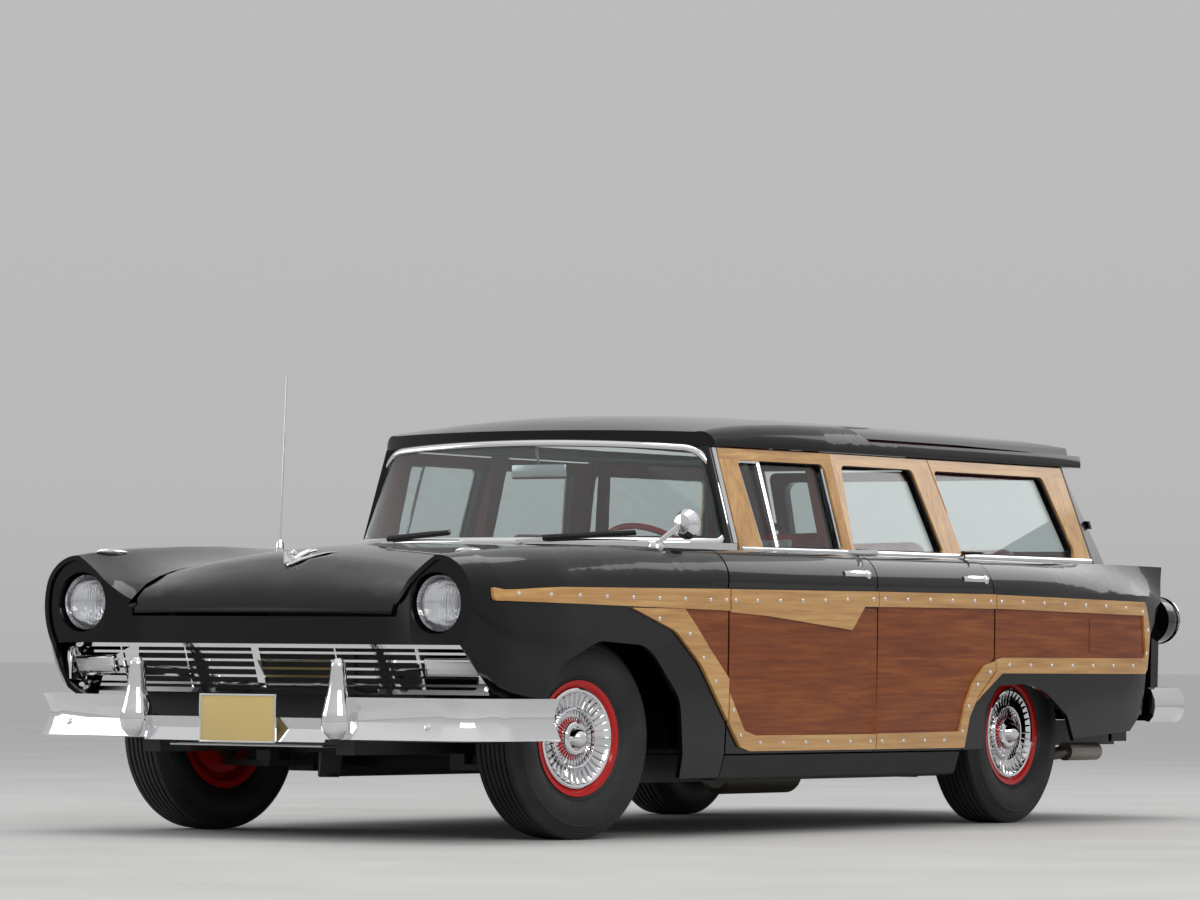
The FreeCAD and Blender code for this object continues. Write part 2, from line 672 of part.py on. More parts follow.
def door_wood_front():
    """Outline of the wood on the left front door, in (station, height)."""
    rail = [(600, 771), (929, 771), (929, 793), (1580, 797), (1800, 797), (1800, 852), (600, 846)]
    wedge = [(620, 771), (930, 757), (1494, 713, 10), (1585, 800), (1580, 810), (620, 810)]
    sweep = [(600, 570), (671, 410), (771, 305), (836, 290), (1800, 290), (1800, 344), (868, 344),
             (794, 361), (702, 475), (600, 640)]
    return [rail, wedge, sweep]


def door_wood_rear():
    rail = [(1600, 797), (2600, 800), (2600, 853), (1600, 851)]
    low = [(1600, 290), (2306, 290)] + ARCH_RAIL_OUTER + ARCH_RAIL_INNER + [(1600, 345)]
    return [rail, low]


def door_wood(y0, y1, outlines, cutter, front_cutter=None):
    layer = wood_layer(y0, y1)
    shape = fuse([prism("yz", points, 800, 1100) for points in outlines])
    wood = layer.common(shape).common(cutter)
    return wood.cut(front_cutter) if front_cutter is not None else wood


def make_cowl():
    """Panel between hood and windshield, with the windshield pillars and the firewall."""
    arch_top = Part.Arc(Vector(-860, 500, 983), Vector(0, 500, 1003), Vector(860, 500, 983)).toShape()
    corners = [Vector(860, 500, 983), Vector(860, 500, 955), Vector(-860, 500, 955), Vector(-860, 500, 983)]
    section = Part.Face(Part.Wire([arch_top] + [Part.makeLine(a, b) for a, b in zip(corners, corners[1:])]))
    slab = section.extrude(Vector(0, 520, 0))
    plan = prism("xy", [(-661, 547), (661, 547), (COWL_X, 700), (COWL_X, 1004), (-COWL_X, 1004), (-COWL_X, 700)],
                 900, 1050)
    slab = slab.common(plan)
    inner = Part.Face(Part.Wire([Part.Ellipse(Vector(0, 1030, 900), 740, 355).toShape()])).extrude(Vector(0, 0, 200))
    slab = slab.cut(inner)
    pillars = []
    foot = [(800, 1004), (750, 1004), (750, 952), (790, 946)]
    head = [(PILLAR_DRIP_X - 4, 1004), (648, 1004), (648, 972), (688, 966)]
    low = Part.makePolygon([Vector(x, y, 980) for x, y in foot + foot[:1]])
    high = Part.makePolygon([Vector(x, y, DRIP_Z - SEAT_GAP) for x, y in head + head[:1]])
    pillar = Part.makeLoft([low, high], True, True)
    firewall = prism("xz", [(-800, FLOOR_Z), (800, FLOOR_Z), (800, 938), (655, 938), (655, 956), (-655, 956),
                            (-655, 938), (-800, 938)], 560, 575)
    sides = pair(block(784, 800, 575, 1004, FLOOR_Z, 956))
    buffers = [rod((x, 566, 949.5), (x, 526, 949.5), 7) for x in (-500, 500)]
    return fuse([slab, pillar, mirror(pillar), firewall] + list(sides.Solids) + buffers)


def make_nose():
    """Panel under the hood lip, between the headlamp housings."""
    panel = plan_arc([(-600, -692), (0, -728), (600, -692)], 200, 645 + SEAT_GAP, NOSE_TOP)
    panel = panel.common(block(-600, 600, -760, -600, 600, 800))
    return panel.cut(block(-590, 590, -686, -590, 600, 720))


NOSE_TOP = 736.0
LAMP = {"x": 732.0, "z": 781.0, "ring": 99.0, "lens": 84.0}


def make_lamp_pod():
    """Housing of one headlamp, filling the mouth of the fender."""
    path = offset_path(fender_path(FENDER_STATIONS[0]), SKIN / 2)
    edges, end = path_edges(path, -735.0)
    corners = [end, Vector(end.x, -735, 645 + SEAT_GAP), Vector(path[0][0], -735, 645 + SEAT_GAP),
               Vector(path[0][0], -735, path[0][1])]
    edges += [Part.makeLine(a, b) for a, b in zip(corners, corners[1:]) if a.distanceToPoint(b) > 1e-6]
    body = Part.Face(Part.Wire(edges)).extrude(Vector(0, 95, 0))
    body = body.cut(prism("xy", [(660, -750), (500, -750), (500, -668)], 600, 1000))
    bore = rod((LAMP["x"], -760, LAMP["z"]), (LAMP["x"], -666 + SEAT_GAP, LAMP["z"]), LAMP["ring"] + 2)
    return body.cut(bore)


def make_lamp_ring():
    ring = turned([(LAMP["lens"], -24), (LAMP["ring"], -24), (LAMP["ring"], 8), (LAMP["ring"] - 7, 18),
                   (LAMP["lens"], 6)], (LAMP["x"], -690, LAMP["z"]), (0, -1, 0))
    cup = turned([(0, -24), (LAMP["lens"] + 1, -24), (LAMP["lens"] + 1, -16), (0, -16)],
                 (LAMP["x"], -690, LAMP["z"]), (0, -1, 0))
    return ring.fuse(cup)


def make_lamp_lens():
    r = LAMP["lens"] - SEAT_GAP
    return turned([(0, -14), (r, -14), (r, 0), (r * 0.8, 14), (r * 0.5, 24), (0, 29)],
                  (LAMP["x"], -690, LAMP["z"]), (0, -1, 0))


def plan_arc(points, depth, z0, z1):
    """Band standing on a plan arc through three points, with its depth towards the rear."""
    a, m, b = points
    front = Part.Arc(Vector(a[0], a[1], z0), Vector(m[0], m[1], z0), Vector(b[0], b[1], z0)).toShape()
    back = Part.Arc(Vector(b[0], b[1] + depth, z0), Vector(m[0], m[1] + depth, z0),
                    Vector(a[0], a[1] + depth, z0)).toShape()
    ends = [Part.makeLine(Vector(b[0], b[1], z0), Vector(b[0], b[1] + depth, z0)),
            Part.makeLine(Vector(a[0], a[1] + depth, z0), Vector(a[0], a[1], z0))]
    return Part.Face(Part.Wire([front, ends[0], back, ends[1]])).extrude(Vector(0, 0, z1 - z0))


GRILLE_ARC = [(-842, -640), (0, -738), (842, -640)]
GRILLE_BARS = [508, 534, 560, 586, 612]
GRILLE_POSTS = [-610, -310, 310, 610]
GRILLE_LEAN = 0.36


def leaning_band(depth, z0, z1, setback=0.0):
    """Band on the grille's plan arc whose foot is set back."""
    wires = []
    for z in (z0, z1):
        move = setback + GRILLE_LEAN * (645 - z)
        face = plan_arc([(x, y + move) for x, y in GRILLE_ARC], depth, z, z + 1).Faces
        low = min(face, key=lambda f: f.CenterOfMass.z)
        wires.append(low.OuterWire)
    return Part.makeLoft(wires, True, True)


def make_grille():
    """Chrome surround that leans, with five thin bars, posts and the wider post in the middle."""
    band = leaning_band(26, 482, 645)
    opening = prism("xz", [(-812, 498, 20), (812, 498, 20), (800, 632, 26), (-800, 632, 26)], -800, -500)
    surround = band.cut(opening)
    bars = [leaning_band(14, z, z + 8, 8) for z in GRILLE_BARS]
    web = leaning_band(10, 484, 643, 10)
    posts = [web.common(block(x - 3, x + 3, -800, -500, 480, 650)) for x in GRILLE_POSTS]
    centre = band.common(block(-15, 15, -800, -500, 480, 650))
    cap = prism("xy", [(842, -640), (868, -622, 14), (880, -480), (866, -480), (850, -606), (842, -606)], 520, 645)
    return fuse([surround, centre] + bars + posts + [cap, mirror(cap)])


def sweep_band(path, profile):
    """Profile of (outward, height) corners swept along a plan path of points with corner radii."""
    points = [Vector(p[0], p[1], 0) for p in path]
    edges = []
    start = points[0]
    for i in range(1, len(points) - 1):
        here = points[i]
        radius = path[i][2]
        back = (points[i - 1] - here).normalize()
        on = (points[i + 1] - here).normalize()
        half = back.getAngle(on) / 2
        reach = radius / math.tan(half)
        first = here + back * reach
        last = here + on * reach
        middle = here + (back + on).normalize() * (radius / math.sin(half) - radius)
        if start.distanceToPoint(first) > 1e-6:
            edges.append(Part.makeLine(start, first))
        edges.append(Part.Arc(first, middle, last).toShape())
        start = last
    edges.append(Part.makeLine(start, points[-1]))
    spine = Part.Wire(edges)
    along = (points[1] - points[0]).normalize()
    out = Vector(along.y, -along.x, 0)
    corners = [points[0] + out * u + Vector(0, 0, v) for u, v in profile]
    wire = Part.makePolygon(corners + corners[:1])
    return spine.makePipeShell([wire], True, True)


# Bumpers: plan from the left end round to the right, and (outward, height) section
FRONT_BUMPER_PLAN = [(950, -345), (946, -625, 120), (860, -770, 160), (420, -828, 300), (0, -834, 800)]
FRONT_BUMPER_WING = [(0, 330), (18, 352), (26, 384), (27, 412), (20, 446), (4, 468), (-14, 472), (8, 430), (10, 392),
                     (-16, 334)]
FRONT_BUMPER_DIP = [(0, 322), (18, 342), (24, 366), (16, 390), (4, 402), (-14, 403), (4, 366), (-16, 324)]
REAR_BUMPER_PLAN = [(948, 3745), (950, 3920, 60), (895, 4115, 160), (495, 4221, 500), (0, 4252, 900)]
REAR_BUMPER_SECTION = [(0, 377), (18, 398), (26, 430), (24, 464), (8, 502), (-14, 510), (6, 464), (8, 430), (-18, 380)]
BUMPER_GUARD = [(0, -62), (30, -56), (50, -34), (57, -4), (54, 24), (44, 60), (34, 100), (28, 150), (24, 190),
                (12, 206), (0, 208)]


def flip_path(path):
    return path + [(-p[0],) + tuple(p[1:]) for p in reversed(path[:-1])]


def make_front_bumper():
    plan = flip_path(FRONT_BUMPER_PLAN)
    wing = sweep_band(plan, FRONT_BUMPER_WING)
    dip = sweep_band(plan, FRONT_BUMPER_DIP)
    centre = block(-372, 372, -1000, -700, 200, 600)
    guards = [turned(BUMPER_GUARD, (x, -832, 392), (0, 0, 1)) for x in (-416, 416)]
    return fuse([wing.cut(centre), dip.common(centre)] + guards)


def make_rear_bumper():
    return sweep_band(flip_path(REAR_BUMPER_PLAN), REAR_BUMPER_SECTION)


# Rear end

TAILGATE_HINGE = (3958.0, 522.0)
LIFTGATE_HINGE = (3566.0, 1362.0)
TAIL_HALF = 745.0


def bowed(profile, half, bow, depth_profile):
    """Panel across the car: side profile (station, height) lofted out to both sides with a bow."""
    wires = []
    for x, share in ((-half, 0.0), (0, 1.0), (half, 0.0)):
        corners = [Vector(x, y + bow * share, z) for y, z in profile + depth_profile]
        wires.append(Part.makePolygon(corners + corners[:1]))
    return Part.makeLoft(wires, True)


def make_tail_panel():
    """Rear face of the body beside and under the tailgate."""
    post = prism("xz", [(TAIL_HALF + PANEL_GAP, 400), (900, 420), (908, 700), (890, 860), (800, 870), (796, 985),
                        (TAIL_HALF + PANEL_GAP, 985)], 3640, 3940)
    slope = prism("yz", [(3500, 978), (3772, 978), (3890, 860), (3900, 400), (3840, 400), (3835, 850),
                         (3720, 950), (3500, 950)], 600, 1000)
    post = post.common(slope)
    jamb = prism("yz", [(3500, 978), (3772, 978), (3890, 860), (3900, 300), (3780, 300), (3780, 820),
                        (3660, 944), (3500, 944)], TAIL_HALF + PANEL_GAP, TAIL_HALF + PANEL_GAP + 14)
    valance = fuse([block(-890, 890, 3884, 3900, 380, 512), block(-744, 744, 3884, 3946, 500, 520 - SEAT_GAP)])
    pan = prism("xy", [(-800, 3940), (800, 3940), (785, 4090, 60), (470, 4172), (-470, 4172), (-785, 4090, 60)],
                500.5, 506)
    return fuse([post, mirror(post), jamb, mirror(jamb), valance, pan])


def make_tailgate():
    profile = [(3955, 520), (3950, 640), (3930, 800), (3870, 930), (3796, 978)]
    inside = [(3768, 978), (3840, 920), (3890, 790), (3912, 640), (3918, 520)]
    return bowed(profile, TAIL_HALF, 0.0, inside)


def make_tailgate_wood():
    profile = [(3955 + SEAT_GAP, 545), (3950 + SEAT_GAP, 640), (3930 + SEAT_GAP, 800), (3899, 868)]
    outer = [(3909, 872), (3940, 804), (3961, 640), (3966, 545)]
    skin = bowed(profile, TAIL_HALF - 12, 0.0, outer)
    panel = prism("xz", [(-675, 610, 20), (675, 610, 20), (675, 800, 20), (-675, 800, 20)], 3700, 4100)
    return skin.cut(panel)


LIFT_FRAME = [(-712, 990, 30), (712, 990, 30), (650, 1345, 40), (-650, 1345, 40)]
LIFT_OPENING = [(-650, 1034, 60), (650, 1034, 60), (595, 1308, 60), (-595, 1308, 60)]
LIFT_PROFILE = [(3782, 986), (3560, 1348)]


def lift_slab(near, far):
    """Leaning slab of the liftgate between two depths ahead of its outer face."""
    (y0, z0), (y1, z1) = LIFT_PROFILE
    corners = [(y0 - near, z0), (y1 - near, z1), (y1 - far, z1), (y0 - far, z0)]
    return prism("yz", corners, -760, 760)


def make_liftgate():
    frame = prism("xz", LIFT_FRAME, 3400, 4000)
    opening = prism("xz", LIFT_OPENING, 3400, 4000)
    body = lift_slab(0, 42).common(frame).cut(opening)
    glass = lift_slab(16, 16 + GLASS).common(prism("xz", shrink(LIFT_OPENING, SEAT_GAP), 3400, 4000))
    return body, glass


def make_rear_pillar():
    """Pillar wrapping from the quarter window round to the liftgate, with the gutter above."""
    foot = [(BELT_X - 2, 3441), (851, 3475), (738, 3770), (722, 3745), (790, 3440)]
    head = [(DRIP_X - 2, 3367), (747, 3400), (672, 3530), (664, 3508), (700, 3366)]
    low = Part.makePolygon([Vector(x, y, 978) for x, y in foot + foot[:1]])
    high = Part.makePolygon([Vector(x, y, DRIP_Z - SEAT_GAP) for x, y in head + head[:1]])
    return Part.makeLoft([low, high], True, True)


TAIL_LAMP = {"x": 868.0, "z": 770.0, "r": 76.0}


def make_tail_lamp():
    pod = turned([(0, 0), (92, 0), (90, 60), (84, 92), (0, 92)], (TAIL_LAMP["x"], 3880, TAIL_LAMP["z"]), (0, 1, 0))
    return pod


def make_tail_lens():
    r = TAIL_LAMP["r"]
    return turned([(0, 0), (r, 0), (r, 12), (r * 0.7, 30), (0, 38)],
                  (TAIL_LAMP["x"], 3972 + SEAT_GAP, TAIL_LAMP["z"]), (0, 1, 0))


# Chassis

RAIL_Z = 226.0
RAIL_HALF = 48.0
FLOOR_LOW = 282.0
FLOOR_Z = 298.0
DECK_Z = 600.0
LOAD_MAT = 4.0
TUNNEL_TOP = 384.0

def make_frame_rails():
    """Ladder frame: side rails in straight lengths, crossmembers between them, and the seats on them."""
    rail = [(400, -750, 330), (400, -330, 330), (400, 260, 330), (620, 540, RAIL_Z), (620, 2474, RAIL_Z),
            (520, 2684, 330), (520, 2780, 430), (520, 3120, 430), (520, 3400, 330), (520, 4165, 330)]
    side = bar(rail, 36, RAIL_HALF)
    crosses = [(-560, 400, 330), (0, 400, 300), (700, 620, 240), (1420, 620, 240), (2380, 600, 240),
               (3500, 520, 330), (4120, 520, 330)]
    members = [block(-x, x, y - 40, y + 40, z - 26, z + 26) for y, x, z in crosses]
    members = [member.cut(side).cut(mirror(side)) for member in members]
    pads = [block(604, 636, y - 30, y + 30, RAIL_Z + RAIL_HALF, FLOOR_LOW - SEAT_GAP) for y in (760, 1420, 2200)]
    post = block(504, 536, 3540, 3580, 330 + RAIL_HALF, DECK_Z - 16 - SEAT_GAP)
    arm_seats = [block(376, 436, y - 24, y + 24, 246 + SEAT_GAP, 330 - RAIL_HALF) for y in (-112, 112)]
    tower = [block(384, 436, -110, 110, 330 + RAIL_HALF, 486 - SEAT_GAP), block(436, 575, -60, 60, 458, 474)]
    bumper_arms = [block(395, 425, -774.7, -740, 350, 410).cut(side),
                   block(505, 535, 4150, 4191.4, 322, 410).cut(side)]
    side_parts = sliced(side, [-330.0, 260.0, 540.0, 2474.0, 2684.0, 2780.0, 3120.0, 3400.0])
    side_parts += pads + [post] + arm_seats + tower + bumper_arms
    return group(side_parts + [mirror(p) for p in side_parts] + members)


def make_floor():
    """Floor pans, tunnel, rockers, door posts and the raised load floor with its wheelhouses."""
    pan = block(76, 800, 576, 2444, FLOOR_LOW, FLOOR_Z)
    under_tunnel = block(-62, 62, 500, 2500, 200, TUNNEL_TOP - 14)
    tunnel = block(-76, 76, 576, 2444, FLOOR_LOW, TUNNEL_TOP).cut(under_tunnel)
    rocker = prism("xz", [(800, SILL_BOTTOM), (905, SILL_BOTTOM), (SILL_X, SILL_BOTTOM + 8), (948, ROCKER_TOP),
                          (858, ROCKER_TOP), (858, FLOOR_Z), (800, FLOOR_Z)], 684 + PANEL_GAP, 2290)
    riser = block(-786, 786, 2444, 2460, FLOOR_LOW, DECK_Z - 16).cut(under_tunnel)
    deck_top = DECK_Z - LOAD_MAT
    deck = block(-575, 575, 2444, 3640, DECK_Z - 16, deck_top)
    deck_end = block(-744, 744, 3640, 3880, DECK_Z - 16, deck_top)
    mat = block(-560, 560, 3440, 3760, deck_top, DECK_Z)
    deck_sides = [block(575, 786, 2444, 2540, DECK_Z - 16, deck_top),
                  block(575, 786, 3340, 3640, DECK_Z - 16, deck_top)]
    wheelhouse = [block(575, 590, 2540, 3340, 500, 790), block(590, 802, 2540, 3340, 774, 790),
                  block(590, 802, 2540, 2556, 500, 774), block(590, 802, 3324, 3340, 500, 774)]
    side_wall = block(786, 802, 2444, 3640, DECK_Z - 16, 930).cut(block(500, 900, 2540, 3340, 0, 790))
    seals = [block(856, DOOR_TRIM_X - SEAT_GAP, 1642, 1656, 420, 700),
             block(802, DOOR_TRIM_X - SEAT_GAP, 2474, 2488, 620, 700)]
    post = prism("xz", [(800, FLOOR_Z), (856, FLOOR_Z), (856, 745), (787, 978), (692, DRIP_Z - SEAT_GAP),
                        (660, DRIP_Z - SEAT_GAP), (750, 970), (800, 760)], 1640, 1712)
    rear_post = prism("yz", [(2470, deck_top), (2540, deck_top), (2540, 980), (2500, 980),
                             (2404, DRIP_Z - SEAT_GAP), (2372, DRIP_Z - SEAT_GAP), (2464, 980)], 640, 786)
    lean = prism("xz", [(786, 560), (786, 960), (694, DRIP_Z + 10), (660, DRIP_Z + 10), (744, 970), (744, 560)],
                 2300, 2600)
    pieces = [pan, rocker, side_wall, post, rear_post.common(lean)] + deck_sides + wheelhouse + seals
    return group([tunnel, riser, deck.fuse(mat).fuse(deck_end).removeSplitter()] + pieces + [mirror(p) for p in pieces])


def make_front_suspension():
    """Control arms, coil springs and the hub carriers' ball studs on both sides."""
    tip = KINGPIN_X + 20
    stub = KINGPIN_X + 4
    lower = prism("xy", [(378, -140), (470, -120), (stub, -26, 8), (stub, 26, 8), (470, 120), (378, 140)], 226, 246)
    lower = lower.cut(prism("xy", [(410, -86), (440, -66), (440, 66), (410, 86)], 200, 260))
    upper = prism("xy", [(400, -110), (500, -80), (tip, -26, 16), (tip, 26, 16), (500, 80), (400, 110)], 486, 502)
    turns = 9
    pitch = (458 - 246 - 2 * SEAT_GAP) / turns
    coils = [(56 if i % 2 == 0 else 45, 246 + SEAT_GAP + pitch * i) for i in range(turns + 1)]
    spring = turned([(0, coils[0][1])] + coils + [(0, coils[-1][1])], (515, 0, 0), (0, 0, 1))
    return lower, upper, spring


def make_knuckle():
    """Left steering knuckle with its spindle, between the two control arms."""
    post = block(KINGPIN_X - 16, KINGPIN_X + 14, -26, 26, 256, 476)
    boss = rod((KINGPIN_X - 20, 0, TYRE_RADIUS), (KINGPIN_X + 16, 0, TYRE_RADIUS), 40)
    spindle = rod((KINGPIN_X, 0, TYRE_RADIUS), (FRONT_TRACK / 2 + 20, 0, TYRE_RADIUS), SPINDLE_RADIUS)
    studs = [rod((KINGPIN_X, 0, 246 + SEAT_GAP), (KINGPIN_X, 0, 262), 13),
             rod((KINGPIN_X, 0, 470), (KINGPIN_X, 0, 486 - SEAT_GAP), 13)]
    arm = block(KINGPIN_X - 16, KINGPIN_X + 4, 20, 130, 296, 316)
    return fuse([post, boss, spindle, arm] + studs)


# Wheels: (radius, distance outward from the wheel's middle plane)
RIM_PROFILE = [
    (HUB_BORE, -64), (140, -64), (140, -8), (168, 6), (172, -70), (RIM_LIP_RADIUS, -76), (RIM_SEAT_RADIUS, -66),
    (RIM_SEAT_RADIUS, 66), (RIM_LIP_RADIUS, 76), (180, 74), (160, 50), (96, 40), (70, 50), (40, 62), (0, 70), (0, 26),
    (HUB_BORE, 26),
]
TYRE_PROFILE = [
    (RIM_SEAT_RADIUS + SEAT_GAP, -65.5), (RIM_LIP_RADIUS + 4, -77), (258, -102.5), (308, -95),
    (TYRE_RADIUS - 3, -TREAD_WIDTH / 2), (TYRE_RADIUS, -58), (TYRE_RADIUS, 58), (TYRE_RADIUS - 3, TREAD_WIDTH / 2),
    (308, 95), (258, 102.5), (RIM_LIP_RADIUS + 4, 77), (RIM_SEAT_RADIUS + SEAT_GAP, 65.5),
]


def make_wheel(x, y, side):
    axis = (side, 0, 0)
    centre = (x, y, TYRE_RADIUS)
    return turned(RIM_PROFILE, centre, axis), turned(TYRE_PROFILE, centre, axis)


def make_rear_axle():
    y = WHEELBASE
    x = REAR_TRACK / 2
    tube = rod((-x + 66, y, TYRE_RADIUS), (x - 66, y, TYRE_RADIUS), 38)
    spindles = rod((-x - 20, y, TYRE_RADIUS), (x + 20, y, TYRE_RADIUS), SPINDLE_RADIUS)
    bowl = turned([(0, -130), (60, -128), (120, -70), (136, 0), (120, 60), (70, 90), (0, 90)],
                  (0, y, TYRE_RADIUS), (0, 1, 0))
    shaft = rod((0, y - 100, TYRE_RADIUS), (0, 640, TYRE_RADIUS), 26)
    return fuse([tube, spindles, bowl, shaft])


def make_leaf_spring():
    """Left leaf spring, a stack of three arched leaves with its eyes."""
    leaves = []
    for half, lift in ((470, 0), (350, 8), (230, 16)):
        z = TYRE_RADIUS - 38 - SEAT_GAP - lift
        sag = 36 * (half / 470.0) ** 2
        outer = Part.Arc(Vector(0, WHEELBASE - half, z + sag), Vector(0, WHEELBASE, z),
                         Vector(0, WHEELBASE + half, z + sag))
        inner = Part.Arc(Vector(0, WHEELBASE + half, z + sag - 8), Vector(0, WHEELBASE, z - 8),
                         Vector(0, WHEELBASE - half, z + sag - 8))
        a = outer.toShape()
        b = inner.toShape()
        ends = [Part.makeLine(Vector(0, WHEELBASE + half, z + sag), Vector(0, WHEELBASE + half, z + sag - 8)),
                Part.makeLine(Vector(0, WHEELBASE - half, z + sag - 8), Vector(0, WHEELBASE - half, z + sag))]
        face = Part.Face(Part.Wire([a, ends[0], b, ends[1]]))
        face.translate(Vector(408, 0, 0))
        leaves.append(face.extrude(Vector(60, 0, 0)))
    eyes = [rod((410, WHEELBASE + end, 332), (484 - SEAT_GAP, WHEELBASE + end, 332), 14) for end in (-466, 466)]
    return fuse(leaves + eyes)


# Interior

def make_seat(front, height, depth, half, back_height, lean=90):
    """Bench: cushion and leaning back, joined where they meet."""
    cushion = prism("yz", [(front, height - 150, 30), (front, height, 50), (front + depth, height - 20),
                           (front + depth, height - 170)], -half, half)
    back = prism("yz", [(front + depth - 60, height - 110), (front + depth - 40, height - 30),
                        (front + depth + lean - 60, height + back_height, 30),
                        (front + depth + lean + 50, height + back_height, 30),
                        (front + depth + 60, height - 110)], -half, half)
    return cushion.fuse(back).removeSplitter()


def make_seats():
    benches = []
    rows = [(1230, 640, 480, 690, 430, 90, FLOOR_Z), (1925, 640, 440, 690, 410, 90, FLOOR_Z),
            (2900, 790, 420, 560, 250, 50, DECK_Z - LOAD_MAT)]
    for front, height, depth, half, back, lean, base in rows:
        legs = [block(s * 320 - 220, s * 320 + 220, front + 60, front + depth - 60, base + SEAT_GAP, height - 145)
                for s in (1, -1)]
        benches.append(fuse([make_seat(front, height, depth, half, back, lean)] + legs))
    return benches


def make_dashboard():
    """Instrument panel across the cabin, with its cowl and the steering column."""
    top = 955 - SEAT_GAP
    panel = prism("yz", [(740, top, 8), (1000, top, 30), (1046, 900, 30), (1040, 760, 20), (960, 700), (860, 700),
                         (860, 900), (740, 930)], -770, 770)
    column = rod((380, 640, 470), (380, 1088.2, 903), 26)
    return fuse([panel, column])


def make_steering_wheel():
    corners = [math.radians(22.5 + 45 * k) for k in range(8)]
    ring = turned([(205 + 12 * math.cos(a), 12 * math.sin(a)) for a in corners], (0, 0, 0), (0, 0, 1))
    hub = turned([(0, -30), (30, -30), (52, 0), (40, 16), (0, 20)], (0, 0, 0), (0, 0, 1))
    spokes = [bar([(s * 20, 0, 0), (s * 200, 0, 0)], 12, 7) for s in (1, -1)]
    wheel = fuse([ring, hub] + spokes)
    tilt = FreeCAD.Rotation(Vector(0, 0, 1), Vector(0, 0.72, 0.694))
    wheel.Placement = FreeCAD.Placement(Vector(380, 1110, 924), tilt)
    return wheel


def make_radiator():
    """Radiator core in its support, standing on the frame rails behind the grille."""
    support = block(-590, 590, -600, -582, RAIL_HALF + 330 + SEAT_GAP, NOSE_TOP - SEAT_GAP)
    core = block(-320, 320, -608, -540, 400, 716)
    stops = [block(s * 450 - 14, s * 450 + 14, -600, -582, 730, 790) for s in (1, -1)]
    return fuse([support, core] + stops)


def make_exhaust():
    """Muffler, tail pipe and fuel tank slung under the floor."""
    z = 240 - 26 - SEAT_GAP - 24
    muffler = turned([(0, 0), (50, 0), (72, 20), (72, 480), (50, 500), (0, 500)], (330, 1600, z), (0, 1, 0))
    pipe = rod((330, 300, z), (330, 3300, z), 24)
    rear = rod((330, 3290, z), (740, 3470, 262), 24)
    tip = rod((740, 3450, 262), (740, 3690, 262), 34)
    bore = rod((740, 3540, 262), (740, 3700, 262), 29)
    return group(sliced(fuse([muffler, pipe, rear, tip]).cut(bore), [1600.0, 2100.0, 3290.0, 3500.0]))


ANTENNA_FOOT = 986.0


def make_antenna():
    foot = turned([(0, -24), (16, -24), (16, 0), (12, 22), (4, 30), (0, 30)], (-745, 402, ANTENNA_FOOT), (0, 0, 1))
    mast = rod((-745, 402, 1006), (-745, 433, 1600), 3)
    return foot.fuse(mast)


def make_mirror():
    foot = turned([(0, -12), (30, -12), (30, 0), (26, 10), (0, 14)], (836, 420, 990), (0, 0, 1))
    stem = bar([(836, 420, 996), (868, 510, 1058)], 7, 7)
    head = turned([(0, -34), (34, -26), (52, 0), (52, 10), (0, 10)], (880, 540, 1066), (0.1, 1, 0))
    return fuse([foot, stem, head])


def make_wipers():
    arms = []
    for x0, x1 in ((150, 560), (-560, -150)):
        y0 = GLASS_BASE["centre"] - GLASS_BASE["depth"] * math.sqrt(1 - (x0 / GLASS_BASE["half"]) ** 2)
        y1 = GLASS_BASE["centre"] - GLASS_BASE["depth"] * math.sqrt(1 - (x1 / GLASS_BASE["half"]) ** 2)
        pivot = rod((x0, y0 - 26, 990), (x0, y0 - 26, 1016), 8)
        arms.append(fuse([bar([(x0, y0 - 26, 1012), (x1, y1 - 12, 1050)], 5, 5), pivot]))
    return arms


# The whole car

NODES = {}


def put(name, *shapes):
    solids = []
    for shape in shapes:
        solids += shape.Solids
    NODES[name] = solids


def turn_parked(shape, side):
    """Turn a front wheel's pieces about its kingpin to the parked steering angle."""
    out = shape.copy()
    out.rotate(Vector(side * KINGPIN_X, 0, 0), Vector(0, 0, 1), PARKED_STEER)
    return out


def build_body():
    fender, fender_wood = make_front_fender()
    put("front_fenders", fender, mirror(fender))
    hood = make_hood()
    put("hood", hood)
    cowl = make_cowl()
    put("cowl", cowl)
    glass = make_windshield().cut(cowl)
    trim_low = ellipse_band(GLASS_BASE, 984, 1010, 10, -14, 990)
    put("windshield_frame", trim_low.cut(cowl).cut(glass))
    put("roof", make_roof())
    skin, frame, cover, quarter_glass, wood = make_quarter()
    put("quarter_panels", skin, mirror(skin))
    pillar = make_rear_pillar().cut(prism("yz", WINDOWS["quarter"], 500, 1100)).cut(cover)
    stop = lift_slab(42 + SEAT_GAP, 60).common(block(664, 740, 3400, 3800, 1120, 1150))
    surround = fuse([frame.cut(skin), pillar.cut(skin), stop])
    put("window_frames", surround, mirror(surround))
    put("fixed_glass", glass, quarter_glass, mirror(quarter_glass))
    fender_wood = fender_wood.cut(fender)
    put("body_wood", fender_wood, mirror(fender_wood), cover, mirror(cover), wood, mirror(wood))
    pod = make_lamp_pod()
    put("nose_panel", fuse([make_nose(), pod, mirror(pod)]).cut(fender).cut(mirror(fender)))
    ring = make_lamp_ring()
    put("lamp_rings", ring, mirror(ring))
    lens = make_lamp_lens()
    put("lamp_lenses", lens, mirror(lens))
    put("grille", make_grille())
    put("front_bumper", make_front_bumper())
    put("rear_bumper", make_rear_bumper())
    pod = make_tail_lamp()
    put("tail_panel", fuse([make_tail_panel(), pod, mirror(pod)]))
    lens = make_tail_lens()
    put("tail_lamp_lenses", lens, mirror(lens))


